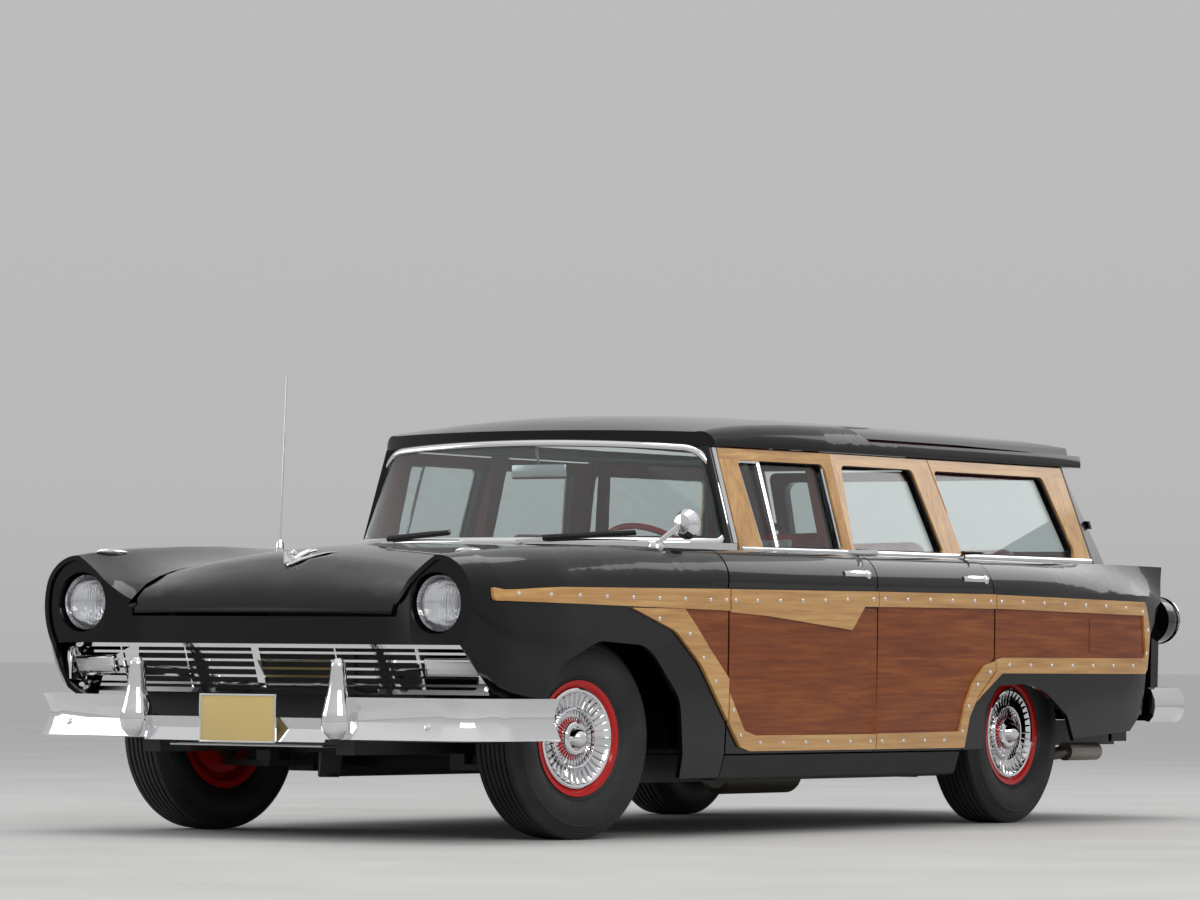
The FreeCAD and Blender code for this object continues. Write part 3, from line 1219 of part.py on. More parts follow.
def build_doors():
    hinge = DOOR_FRONT + HINGE_SETBACK
    inside = shut_drum(SHUT_FRONT_DOOR, hinge, -PANEL_GAP / 2)
    outside = shut_drum(SHUT_FRONT_DOOR, hinge, PANEL_GAP / 2)
    door, glass, cover = make_door(DOOR_FRONT + PANEL_GAP / 2, PILLAR_FRONT, DOOR_SPLIT, WINDOWS["front"], inside)
    rails = door_wood(DOOR_FRONT + PANEL_GAP / 2, DOOR_SPLIT, door_wood_front(), inside)
    hinge = DOOR_SPLIT + HINGE_SETBACK
    end = shut_drum(SHUT_REAR_DOOR, hinge, -PANEL_GAP / 2)
    rear_door, rear_glass, rear_cover = make_door(DOOR_SPLIT - 40, DOOR_SPLIT - 40, DOOR_REAR, WINDOWS["rear"], end,
                                                  outside)
    rear_rails = door_wood(DOOR_SPLIT - 40, DOOR_REAR + 40, door_wood_rear(), end, outside)
    sets = {"front": (door, glass, cover, rails), "rear": (rear_door, rear_glass, rear_cover, rear_rails)}
    for end_name, (panel, pane, frame_cover, side_rails) in sets.items():
        for side, flip in (("left", lambda s: s), ("right", mirror)):
            put(end_name + "_" + side + "_door", flip(panel))
            put(end_name + "_" + side + "_door_glass", flip(pane))
            put(end_name + "_" + side + "_door_wood", flip(frame_cover), flip(side_rails))


def build_rear():
    put("tailgate", make_tailgate())
    put("tailgate_wood", make_tailgate_wood())
    body, glass = make_liftgate()
    put("liftgate", body)
    put("liftgate_glass", glass)


def build_chassis():
    put("frame_rails", make_frame_rails())
    put("floor", make_floor())
    lower, upper, spring = make_front_suspension()
    put("control_arms", lower, mirror(lower), upper, mirror(upper))
    put("rear_axle", make_rear_axle())
    leaves = make_leaf_spring()
    put("springs", spring, mirror(spring), leaves, mirror(leaves))
    put("exhaust", make_exhaust())
    put("engine_block", block(-250, 250, -330, 400, 326 + SEAT_GAP, 830))
    put("radiator", make_radiator())
    knuckle = make_knuckle()
    put("left_knuckle", turn_parked(knuckle, 1))
    put("right_knuckle", turn_parked(mirror(knuckle), -1))
    for name, x, y, side in (("front_left", FRONT_TRACK / 2, 0, 1), ("front_right", -FRONT_TRACK / 2, 0, -1),
                             ("rear_left", REAR_TRACK / 2, WHEELBASE, 1),
                             ("rear_right", -REAR_TRACK / 2, WHEELBASE, -1)):
        wheel, tyre = make_wheel(x, y, side)
        if y == 0:
            wheel = turn_parked(wheel, side)
            tyre = turn_parked(tyre, side)
        put(name + "_wheel", wheel)
        put(name + "_tyre", tyre)


def build_fittings():
    put("seats", *make_seats())
    put("dashboard", make_dashboard())
    put("steering_wheel", make_steering_wheel())
    cowl = make_cowl()
    fender = NODES["front_fenders"]
    antenna = make_antenna().cut(group(fender))
    side_mirror = make_mirror().cut(group(fender))
    put("bright_fittings", antenna, side_mirror, *[wiper.cut(cowl) for wiper in make_wipers()])


def main():
    os.makedirs("parts", exist_ok=True)
    build_body()
    build_doors()
    build_rear()
    build_chassis()
    build_fittings()
    for name, solids in NODES.items():
        shape = solids[0] if len(solids) == 1 else Part.makeCompound(solids)
        shape = shape.copy()
        shape.translate(Vector(0, FRAME_SHIFT, 0))
        shape.exportStep("parts/" + name + ".step")


main()
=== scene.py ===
import json
import math

import bmesh
import bpy
import numpy as np
from mathutils import Matrix, Vector
from mathutils.bvhtree import BVHTree


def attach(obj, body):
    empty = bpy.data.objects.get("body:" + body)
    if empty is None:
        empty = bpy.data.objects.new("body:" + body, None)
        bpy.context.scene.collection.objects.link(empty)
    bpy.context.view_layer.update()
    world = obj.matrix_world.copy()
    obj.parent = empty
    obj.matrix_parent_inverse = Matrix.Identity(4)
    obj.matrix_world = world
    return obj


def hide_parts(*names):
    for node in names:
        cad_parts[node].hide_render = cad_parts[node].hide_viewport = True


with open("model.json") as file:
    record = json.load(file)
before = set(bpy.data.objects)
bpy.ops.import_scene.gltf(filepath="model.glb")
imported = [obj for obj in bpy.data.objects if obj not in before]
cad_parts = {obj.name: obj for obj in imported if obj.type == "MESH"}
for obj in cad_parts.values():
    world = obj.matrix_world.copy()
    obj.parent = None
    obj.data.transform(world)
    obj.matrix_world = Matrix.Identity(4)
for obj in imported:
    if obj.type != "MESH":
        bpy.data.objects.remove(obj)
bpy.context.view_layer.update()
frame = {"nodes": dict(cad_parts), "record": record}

NODES = frame["nodes"]
SHIFT = -1.6945  # metres from the front axle to the middle of the car


def at(x, station, z):
    """Point from millimetres: x to the car's left, station behind the front axle, height."""
    return Vector((x / 1000.0, station / 1000.0 + SHIFT, z / 1000.0))


# Materials

def fill(ramp, stops):
    """Set a colour ramp's (position, colour) stops."""
    items = ramp.color_ramp.elements
    while len(items) < len(stops):
        items.new(0.5)
    for item, (position, color) in zip(items, stops):
        item.position = position
        item.color = (*color, 1)


class Look:
    """One node material being built."""

    def __init__(self, name, color, rough=0.5, metal=0.0, coat=0.0, coat_rough=0.03, **more):
        self.m = bpy.data.materials.new(name)
        self.m.use_nodes = True
        self.nt = self.m.node_tree
        self.b = self.nt.nodes["Principled BSDF"]
        self.b.inputs["Base Color"].default_value = (*color, 1)
        self.b.inputs["Roughness"].default_value = rough
        self.b.inputs["Metallic"].default_value = metal
        self.b.inputs["Coat Weight"].default_value = coat
        self.b.inputs["Coat Roughness"].default_value = coat_rough
        for key, value in more.items():
            self.b.inputs[key.replace("_", " ")].default_value = value
        self.coord = self.nt.nodes.new("ShaderNodeTexCoord")

    def node(self, kind, **values):
        n = self.nt.nodes.new(kind)
        for key, value in values.items():
            if key in n.inputs:
                n.inputs[key].default_value = value
            else:
                setattr(n, key, value)
        return n

    def link(self, a, b):
        self.nt.links.new(a, b)

    def mapped(self, scale, turn=(0, 0, 0)):
        m = self.node("ShaderNodeMapping")
        m.inputs["Scale"].default_value = scale
        m.inputs["Rotation"].default_value = turn
        self.link(self.coord.outputs["Object"], m.inputs["Vector"])
        return m.outputs["Vector"]

    def noise(self, scale, detail=4.0, vector=None, distortion=0.0, rough=0.5):
        n = self.node("ShaderNodeTexNoise", Scale=scale, Detail=detail, Distortion=distortion,
                      Roughness=rough)
        self.link(vector if vector is not None else self.coord.outputs["Object"], n.inputs["Vector"])
        return n.outputs["Fac"]

    def ramp(self, value, stops):
        r = self.node("ShaderNodeValToRGB")
        fill(r, stops)
        self.link(value, r.inputs["Fac"])
        return r.outputs["Color"]

    def span(self, value, low, high):
        r = self.node("ShaderNodeMapRange")
        r.inputs["To Min"].default_value = low
        r.inputs["To Max"].default_value = high
        self.link(value, r.inputs["Value"])
        return r.outputs["Result"]

    def paint(self, color_socket):
        self.link(color_socket, self.b.inputs["Base Color"])

    def rough(self, value, low, high):
        self.link(self.span(value, low, high), self.b.inputs["Roughness"])

    def bump(self, value, strength, distance=0.001):
        n = self.node("ShaderNodeBump", Strength=strength, Distance=distance)
        self.link(value, n.inputs["Height"])
        self.link(n.outputs["Normal"], self.b.inputs["Normal"])

    def mix(self, fac, a, b):
        n = self.node("ShaderNodeMix", data_type="RGBA")
        self.link(fac, n.inputs[0])
        for value, socket in ((a, n.inputs[6]), (b, n.inputs[7])):
            if isinstance(value, tuple):
                socket.default_value = (*value, 1)
            else:
                self.link(value, socket)
        return n.outputs[2]

    def math(self, op, a, b=None):
        n = self.node("ShaderNodeMath", operation=op)
        for value, socket in ((a, n.inputs[0]), (b, n.inputs[1])):
            if value is None:
                continue
            if isinstance(value, (int, float)):
                socket.default_value = value
            else:
                self.link(value, socket)
        return n.outputs[0]

    def split(self, kind="Object"):
        """X, Y and Z of a texture coordinate."""
        s = self.node("ShaderNodeSeparateXYZ")
        self.link(self.coord.outputs[kind], s.inputs[0])
        return s.outputs

    def outward(self):
        """How far a face looks away from the car's middle."""
        return self.math("MULTIPLY", self.split("Normal")["X"], self.math("SIGN", self.split()["X"]))

    def pattern(self, kind, scale, **values):
        n = self.node(kind, Scale=scale, **values)
        self.link(self.coord.outputs["Object"], n.inputs["Vector"])
        return n


def plain(name, color, rough=0.5, metal=0.0, scale=60.0, tint=0.85, grain=0.1, wear=0.12, **more):
    """Material with slight mottling of colour and roughness and a fine surface grain."""
    look = Look(name, color, rough, metal, **more)
    cloud = look.noise(scale * 0.12, 3.0)
    look.paint(look.ramp(cloud, [(0.3, tuple(c * tint for c in color)), (0.7, color)]))
    look.rough(look.noise(scale, 5.0), max(rough - wear, 0.02), rough + wear)
    if grain:
        look.bump(look.noise(scale * 8, 3.0), grain, 0.0006)
    return look.m


def paint(name, color, inner=None, floor=0.0, along="X"):
    """Gloss enamel with faint orange peel; above a height, inward faces take the inner colour."""
    look = Look(name, color, 0.2, coat=0.8, coat_rough=0.015, Specular_IOR_Level=0.1, Coat_IOR=1.36)
    look.rough(look.noise(9.0, 4.0), 0.16, 0.26)
    look.bump(look.noise(260.0, 2.0), 0.012, 0.0006)
    if inner is not None:
        away = look.outward() if along == "X" else look.split("Normal")[along]
        inside = look.math("MULTIPLY", look.math("LESS_THAN", away, -0.3),
                           look.math("GREATER_THAN", look.split()["Z"], floor))
        look.paint(look.mix(inside, color, inner))
    return look.m


def chrome(name, tone=0.83, rough=0.045):
    look = Look(name, (tone, tone, tone * 1.02), rough, 1.0)
    look.rough(look.noise(14.0, 4.0), rough * 0.5, rough * 1.6)
    look.bump(look.noise(35.0, 2.0), 0.006, 0.002)
    return look.m


def grained(look, tones, fine, upright=False):
    """Colour of wood from long fibres and wandering growth bands, with the fibres alone."""
    thin, wide = ((60.0, 60.0, 2.6), (9.0, 9.0, 0.9)) if upright else ((60.0, 2.6, 60.0), (9.0, 0.9, 9.0))
    fibre = look.noise(fine, 7.0, look.mapped(thin), 0.4, 0.62)
    bands = look.noise(fine, 4.0, look.mapped(wide), 1.6, 0.5)
    grain = look.math("ADD", look.math("MULTIPLY", fibre, 0.55), look.math("MULTIPLY", bands, 0.45))
    return look.ramp(grain, list(zip((0.32, 0.5, 0.66), tones))), fibre


def wood(name, tones, gloss=0.3, coat=0.7, fine=1.0, **more):
    """Varnished wood, its tones given from dark to light."""
    look = Look(name, tones[1], gloss, coat=coat, coat_rough=0.06, **more)
    color, fibre = grained(look, tones, fine)
    look.paint(color)
    look.rough(fibre, gloss - 0.08, gloss + 0.12)
    look.bump(fibre, 0.10, 0.0006)
    return look


def light_wood(name):
    """Golden rails along the car, with the fibres standing up in the window pillars."""
    tones = (0.36, 0.16, 0.035), (0.56, 0.29, 0.08), (0.7, 0.42, 0.15)
    look = wood(name, tones)
    standing, _ = grained(look, tones, 1.0, upright=True)
    lying = look.b.inputs["Base Color"].links[0].from_socket
    z = look.split()["Z"]
    up = look.math("MULTIPLY", look.math("GREATER_THAN", z, 0.996), look.math("LESS_THAN", z, 1.308))
    look.paint(look.mix(up, lying, standing))
    return look.m


def tyre_look(name):
    look = Look(name, (0.012, 0.012, 0.013), 0.62)
    look.paint(look.ramp(look.noise(9.0, 5.0), [(0.35, (0.008, 0.008, 0.009)), (0.7, (0.02, 0.02, 0.021))]))
    look.rough(look.noise(40.0, 4.0), 0.5, 0.75)
    look.bump(look.noise(350.0, 3.0), 0.15, 0.0005)
    return look.m


def vinyl(name, color):
    look = Look(name, color, 0.42, coat=0.12, coat_rough=0.3)
    cell = look.pattern("ShaderNodeTexVoronoi", 420.0)
    look.paint(look.ramp(look.noise(7.0, 4.0), [(0.3, tuple(c * 0.7 for c in color)), (0.7, color)]))
    look.rough(look.noise(30.0, 4.0), 0.34, 0.52)
    look.bump(cell.outputs["Distance"], 0.25, 0.0006)
    return look.m


def cloth(name, color):
    look = Look(name, color, 0.85)
    warp, weft = (look.pattern("ShaderNodeTexWave", 160.0, Distortion=0.4, bands_direction=d) for d in "XY")
    weave = look.math("ADD", warp.outputs["Fac"], weft.outputs["Fac"])
    look.paint(look.ramp(weave, [(0.2, tuple(c * 0.75 for c in color)), (1.0, color)]))
    look.bump(weave, 0.3, 0.0005)
    return look.m


def floor_look(name):
    """Black underbody, with red carpet and red painted posts on the cabin side."""
    under = (0.018, 0.016, 0.016)
    look = Look(name, under, 0.7)
    upper = look.math("GREATER_THAN", look.split()["Z"], 0.2975)
    below = look.math("LESS_THAN", look.split("Normal")["Z"], -0.3)
    hidden = look.math("MAXIMUM", look.math("GREATER_THAN", look.outward(), 0.3), below)
    red = look.math("MULTIPLY", upper, look.math("SUBTRACT", 1.0, hidden))
    pile = look.noise(420.0, 3.0)
    carpet = look.ramp(pile, [(0.3, (0.11, 0.006, 0.006)), (0.7, (0.22, 0.012, 0.011))])
    look.paint(look.mix(red, under, carpet))
    look.rough(look.noise(50.0, 4.0), 0.6, 0.85)
    look.bump(pile, 0.5, 0.001)
    return look.m


def glass(name, color):
    """Panes that mirror like glass and hardly bend the light."""
    look = Look(name, color, 0.0, Transmission_Weight=1.0, IOR=1.03, coat=1.0, coat_rough=0.0, Coat_IOR=1.5)
    look.bump(look.noise(6.0, 2.0), 0.002, 0.002)
    return look.m


def lamp_glass(name, color):
    """Ribbed lamp glass: upright flutes crossed by a few level ones."""
    look = Look(name, color, 0.02, Transmission_Weight=0.92, IOR=1.48)
    fine = look.pattern("ShaderNodeTexWave", 32.0, Distortion=0.0, bands_direction="X")
    level = look.pattern("ShaderNodeTexWave", 9.0, Distortion=0.0, bands_direction="Z")
    flutes = look.math("ADD", fine.outputs["Fac"], look.math("MULTIPLY", level.outputs["Fac"], 0.5))
    look.bump(flutes, 0.5, 0.003)
    return look.m


DEEP = (0.003, 0.0032, 0.004)
INNER = (0.2, 0.008, 0.008)
BLACK = paint("black_enamel", DEEP)
DOOR_PAINT = paint("door_enamel", DEEP, INNER)
CABIN_PAINT = paint("cabin_enamel", DEEP, INNER, 1.0)
GATE_PAINT = paint("gate_enamel", DEEP, INNER, along="Y")
RED_PAINT = paint("red_enamel", (0.5, 0.012, 0.012))
CHROME = chrome("chrome")
DULL_CHROME = chrome("satin_chrome", 0.6, 0.2)
PALE_WOOD = light_wood("pale_wood")
DARK_WOOD = wood("dark_wood", ((0.13, 0.024, 0.003), (0.22, 0.048, 0.006), (0.33, 0.09, 0.014)), gloss=0.34,
                 coat=0.15, fine=1.5, Specular_IOR_Level=0.25).m
GLASS = glass("clear_glass", (0.8, 0.87, 0.87))
LENS = lamp_glass("lamp_glass", (0.95, 0.97, 1.0))
RED_LENS = plain("red_lens", (0.42, 0.006, 0.004), 0.12, coat=0.8, scale=30, grain=0.0)
TYRE = tyre_look("tyre")
RED_VINYL = vinyl("red_vinyl", (0.36, 0.014, 0.012))
SILVER_VINYL = vinyl("silver_vinyl", (0.46, 0.47, 0.46))
LAMP_WHITE = plain("parking_lens", (0.72, 0.73, 0.72), 0.12, scale=20, tint=0.92, grain=0.0, coat=0.6)
RED_LINER = cloth("red_liner", (0.3, 0.014, 0.012))
STEEL = plain("chassis_black", (0.02, 0.02, 0.021), 0.55, scale=40, grain=0.15)
IRON = plain("engine_enamel", (0.05, 0.055, 0.06), 0.5, scale=40, grain=0.2)
EXHAUST = plain("exhaust_steel", (0.3, 0.27, 0.24), 0.42, 0.9, scale=25, grain=0.1)
FLOOR_PAINT = floor_look("floor_black")
RUBBER = plain("rubber", (0.012, 0.012, 0.012), 0.7, scale=90, grain=0.2)
PLATE = plain("plate_enamel", (0.66, 0.5, 0.2), 0.35, scale=12, tint=0.9, grain=0.03)
RED_PANEL = plain("dash_enamel", (0.3, 0.012, 0.01), 0.3, coat=0.4, scale=30, grain=0.03)
IVORY = plain("ivory_plastic", (0.62, 0.58, 0.48), 0.3, coat=0.3, scale=20, grain=0.0)

LOOKS = {
    "black_paint": BLACK, "light_wood": PALE_WOOD, "bright_chrome": CHROME, "clear_glass": GLASS,
    "tyre_rubber": TYRE, "wheel_steel": RED_PAINT, "red_plastic": RED_PANEL, "red_vinyl": RED_VINYL,
    "red_trim": RED_PANEL, "floor_steel": FLOOR_PAINT, "red_lens": RED_LENS, "chassis_steel": STEEL,
    "engine_iron": IRON,
}
SLOTS = {part["node"]: part["material_slot"] for part in frame["record"]["subparts"]}


def dress(obj, material):
    obj.data.materials.clear()
    obj.data.materials.append(material)


def soften(mesh, angle=34.0):
    """Blend the shading normals of faces that meet at a blunt angle; the shape stays as it is."""
    count = len(mesh.vertices)
    place = np.empty(count * 3)
    mesh.vertices.foreach_get("co", place)
    _, point = np.unique(np.round(place.reshape(-1, 3) * 1e5).astype(np.int64), axis=0, return_inverse=True)
    loops = len(mesh.loops)
    corner = np.empty(loops, np.int32)
    mesh.loops.foreach_get("vertex_index", corner)
    point = point.reshape(-1)[corner]
    faces = len(mesh.polygons)
    start, total = np.empty(faces, np.int32), np.empty(faces, np.int32)
    normal, area = np.empty(faces * 3), np.empty(faces)
    mesh.polygons.foreach_get("loop_start", start)
    mesh.polygons.foreach_get("loop_total", total)
    mesh.polygons.foreach_get("normal", normal)
    mesh.polygons.foreach_get("area", area)
    spans = np.concatenate([np.arange(s, s + n) for s, n in zip(start, total)])
    face = np.repeat(np.arange(faces), total)[np.argsort(spans)]
    normal = normal.reshape(-1, 3)
    order = np.argsort(point, kind="stable")
    first = np.searchsorted(point[order], np.arange(point.max() + 2))
    size = np.diff(first)[point]
    mine = np.repeat(np.arange(loops), size)
    step = np.arange(len(mine)) - np.repeat(np.cumsum(size) - size, size)
    other = order[first[point[mine]] + step]
    near = np.einsum("ij,ij->i", normal[face[mine]], normal[face[other]]) > math.cos(math.radians(angle))
    blend = np.zeros((loops, 3))
    source = face[other[near]]
    np.add.at(blend, mine[near], normal[source] * (area[source] + 1e-12)[:, None])
    blend /= np.maximum(np.linalg.norm(blend, axis=1), 1e-12)[:, None]
    mesh.shade_smooth()
    mesh.normals_split_custom_set(blend.tolist())


for node_name, node_object in NODES.items():
    dress(node_object, LOOKS[SLOTS[node_name]])
    soften(node_object.data)
for material, names in (
    (DOOR_PAINT, ("front_left_door", "front_right_door", "rear_left_door", "rear_right_door")),
    (CABIN_PAINT, ("window_frames", "cowl")),
    (GATE_PAINT, ("liftgate", "tailgate")),
    (LENS, ("lamp_lenses",)),
    (EXHAUST, ("exhaust",)),
    (RED_PANEL, ("dashboard",)),
):
    for node_name in names:
        dress(NODES[node_name], material)

# Mesh helpers


def make(name, verts, faces, material, body, angle=35.0):
    """Piece of the scene that rides on a body, with edges sharper than the angle kept crisp."""
    mesh = bpy.data.meshes.new(name)
    mesh.from_pydata([tuple(v) for v in verts], [], faces)
    bm = bmesh.new()
    bm.from_mesh(mesh)
    bmesh.ops.remove_doubles(bm, verts=bm.verts, dist=0.00002)
    bmesh.ops.recalc_face_normals(bm, faces=bm.faces)
    bm.to_mesh(mesh)
    bm.free()
    mesh.update()
    obj = bpy.data.objects.new(name, mesh)
    bpy.context.scene.collection.objects.link(obj)
    mesh.materials.append(material)
    mesh.shade_smooth()
    mesh.set_sharp_from_angle(angle=math.radians(angle))
    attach(obj, body)
    return obj


class Soup:
    """Vertices and faces of many small pieces gathered into one mesh."""

    def __init__(self):
        self.v = []
        self.f = []

    def add(self, verts, faces, place=None):
        base = len(self.v)
        self.v += [place @ Vector(v) if place else Vector(v) for v in verts]
        self.f += [[base + i for i in face] for face in faces]

    def mirrored(self):
        other = Soup()
        other.add([(-v.x, v.y, v.z) for v in self.v], [list(reversed(f)) for f in self.f])
        return other

    def moved(self, matrix):
        other = Soup()
        other.add(self.v, self.f, matrix)
        return other

    def build(self, name, material, body="body", **kw):
        return make(name, self.v, self.f, material, body, **kw)


def revolve(profile, steps=64, closed=False):
    """(radius, height) profile about +Z."""
    verts, faces = [], []
    n = len(profile)
    for i in range(steps):
        a = 2 * math.pi * i / steps
        verts += [(r * math.cos(a), r * math.sin(a), h) for r, h in profile]
    spans = n if closed else n - 1
    for i in range(steps):
        j = (i + 1) % steps
        for k in range(spans):
            m = (k + 1) % n
            faces.append([i * n + k, j * n + k, j * n + m, i * n + m])
    return verts, faces


def loft(rings, cap=True):
    """Closed rings of equal length joined into a skin."""
    verts, faces = [], []
    n = len(rings[0])
    for ring in rings:
        verts += ring
    for i in range(len(rings) - 1):
        for k in range(n):
            m = (k + 1) % n
            faces.append([i * n + k, i * n + m, (i + 1) * n + m, (i + 1) * n + k])
    if cap:
        faces.append(list(range(n - 1, -1, -1)))
        faces.append([(len(rings) - 1) * n + k for k in range(n)])
    return verts, faces


def tube(path, radius, sides=10, flat=1.0, up=Vector((0, 0, 1))):
    """Round or flattened bar along points."""
    rings = []
    path = [Vector(p) for p in path]
    for i, p in enumerate(path):
        d = (path[min(i + 1, len(path) - 1)] - path[max(i - 1, 0)]).normalized()
        side = d.cross(up)
        side = side.normalized() if side.length > 1e-6 else Vector((1, 0, 0))
        top = side.cross(d).normalized()
        r = radius(i / (len(path) - 1)) if callable(radius) else radius
        rings.append([p + side * (r * math.cos(t)) + top * (r * flat * math.sin(t))
                      for t in (2 * math.pi * k / sides for k in range(sides))])
    return loft(rings)


def slab(x0, x1, s0, s1, z0, z1, edge=4.0):
    """Block in millimetres with chamfered edges."""
    bm = bmesh.new()
    bmesh.ops.create_cube(bm, size=1.0)
    a, b = at(min(x0, x1), s0, z0), at(max(x0, x1), s1, z1)
    for v in bm.verts:
        v.co = Vector([(a[i] + b[i]) / 2 + v.co[i] * (b[i] - a[i]) for i in range(3)])
    bmesh.ops.bevel(bm, geom=bm.edges[:], offset=edge / 1000, segments=3, profile=0.5, affect="EDGES")
    bm.verts.ensure_lookup_table()
    verts = [v.co.copy() for v in bm.verts]
    faces = [[v.index for v in f.verts] for f in bm.faces]
    bm.free()
    return verts, faces


TREES = {}


def tree(node):
    if node not in TREES:
        mesh = NODES[node].data
        mesh.calc_loop_triangles()
        TREES[node] = BVHTree.FromPolygons([v.co for v in mesh.vertices],
                                           [list(t.vertices) for t in mesh.loop_triangles])
    return TREES[node]


LEFT = Vector((1, 0, 0))
REARWARD = Vector((0, 1, 0))
UP = Vector((0, 0, 1))
REACH = 3.0


def cast(nodes, origin, direction):
    """Nearest hit on any of the nodes as point, normal turned to the ray, and distance, or None."""
    best = None
    for node in nodes:
        hit, normal, _, distance = tree(node).ray_cast(origin, direction, REACH)
        if hit is not None and (best is None or distance < best[2]):
            best = (hit, normal if normal.dot(direction) < 0 else -normal, distance)
    return best


def from_front(node, x, z):
    return cast([node], at(x, -1400, z), REARWARD)


def from_behind(node, x, z):
    return cast([node], at(x, 4400, z), -REARWARD)


def from_above(node, x, station):
    """Point of a node seen from above."""
    return cast([node], at(x, station, 1400), -UP)[0]


def flank(nodes, station, z):
    """Point and outward normal on the left side of the car."""
    found = cast(nodes, at(1400, station, z), -LEFT)
    return found[:2] if found else (at(957, station, z), LEFT)


def trim_face(nodes, station, z):
    """Point and inward direction on the cabin side of the left door."""
    found = cast(nodes, at(400, station, z), LEFT)
    return (found[0] if found else at(868, station, z)), -LEFT


def aimed(point, direction, up="Y"):
    """Placement that turns +Z to a direction."""
    return Matrix.Translation(point) @ direction.to_track_quat("Z", up).to_matrix().to_4x4()


def both_sides(soup, name, material, body="body", **kw):
    """A piece and its mirror image, which rides on the same body's right-hand twin."""
    soup.build(name + "_left", material, body, **kw)
    soup.mirrored().build(name + "_right", material, body.replace("left", "right"), **kw)


# Dark panels between the pale rails

def between(table, z):
    """Station at a height, from a (height, station) table."""
    for (z0, s0), (z1, s1) in zip(table, table[1:]):
        if z <= z1:
            return s0 + (s1 - s0) * max(z - z0, 0.0) / max(z1 - z0, 1e-6)
    return table[-1][1]


def panel(nodes, front, rear, heights, lift=(0.4, 3.0), columns=26, probe=flank):
    """Thin board on the body side, its ends given as (height, station) tables."""
    soup = Soup()
    rows = len(heights)
    for depth in lift:
        for z in heights:
            s0, s1 = between(front, z), between(rear, z)
            for c in range(columns + 1):
                point, normal = probe(nodes, s0 + (s1 - s0) * c / columns, z)
                soup.v.append(point + Vector((math.copysign(depth / 1000, normal.x), 0, 0)))
    n = columns + 1
    top = rows * n
    for r in range(rows - 1):
        for c in range(columns):
            a = r * n + c
            soup.f.append([top + a, top + a + 1, top + a + n + 1, top + a + n])
            soup.f.append([a, a + n, a + n + 1, a + 1])
    edge = [r * n for r in range(rows)] + [(rows - 1) * n + c for c in range(1, n)]
    edge += [r * n + columns for r in range(rows - 2, -1, -1)] + [c for c in range(columns - 1, 0, -1)]
    for a, b in zip(edge, edge[1:] + edge[:1]):
        soup.f.append([a, b, top + b, top + a])
    return soup


def levels(low, high, step=14.0):
    count = max(int((high - low) / step), 2)
    return [low + (high - low) * i / count for i in range(count + 1)]


PANELS = [
    # name, node, body, front ends, rear ends, low, high
    ("fender_panel", "front_fenders", "body", [(520, 640), (640, 540), (720, 468), (785, 400)],
     [(520, 683), (785, 683)], 520, 785),
    ("front_door_panel", "front_left_door", "front_left_door_body",
     [(330, 830), (361, 780), (460, 700), (480, 694), (800, 694)], [(330, 1677), (800, 1677)], 330, 790),
    ("rear_door_panel", "rear_left_door", "rear_left_door_body", [(330, 1684), (830, 1684)],
     [(330, 2270), (440, 2302), (527, 2362), (592, 2450), (612, 2515), (830, 2515)], 330, 815),
    ("quarter_panel", "quarter_panels", "body", [(606, 2526), (820, 2526)],
     [(606, 3684), (640, 3690), (820, 3706)], 606, 812),
]
for name, node, body, front, rear, low, high in PANELS:
    soup = panel([node], front, rear, levels(low, high))
    both_sides(soup, name, DARK_WOOD, body, angle=50)

# Small domed screws along the rails

SCREWS = [
    # name, skin, wood, body, (station, height) of each screw
    ("body", "front_fenders", "body_wood", "body",
     [(-560, 815), (-400, 813), (-240, 812), (-80, 811), (80, 810), (240, 809), (400, 809), (560, 808),
      (660, 808), (240, 740), (430, 690), (520, 610), (600, 530)]),
    ("front_door", "front_left_door", "front_left_door_wood", "front_left_door_body",
     [(720, 808), (860, 808), (1010, 810), (1160, 812), (1310, 815), (1460, 820), (1640, 824), (720, 430),
      (770, 345), (900, 318), (1050, 318), (1200, 318), (1350, 318), (1500, 318), (1640, 318)]),
    ("rear_door", "rear_left_door", "rear_left_door_wood", "rear_left_door_body",
     [(1720, 825), (1880, 825), (2040, 826), (2200, 826), (2360, 826), (2480, 826), (1720, 318), (1870, 318),
      (2020, 318), (2160, 318), (2290, 350), (2330, 440), (2390, 520), (2480, 566)]),
    ("quarter", "quarter_panels", "body_wood", "body",
     [(2560, 826), (2720, 826), (2880, 824), (3040, 822), (3200, 820), (3360, 818), (3520, 814), (3660, 800),
      (2620, 592), (2780, 592), (2940, 592), (3100, 592), (3260, 592), (3420, 592), (3580, 592), (3700, 640),
      (3712, 730)]),
]


def dome(point, normal, radius, height, steps=10):
    """Round cap that stands on a point."""
    verts, faces = revolve([(0.0, height), (radius * 0.5, height * 0.87), (radius * 0.87, height * 0.5),
                            (radius, 0.0), (radius, -0.0008)], steps)
    place = aimed(point, normal)
    return [place @ Vector(v) for v in verts], faces


for name, skin, rail, body, spots in SCREWS:
    soup = Soup()
    for station, z in spots:
        soup.add(*dome(*flank([skin, rail], station, z), 0.0075, 0.0035))
    both_sides(soup, "screws_" + name, CHROME, body)

# Bright strips along the belt

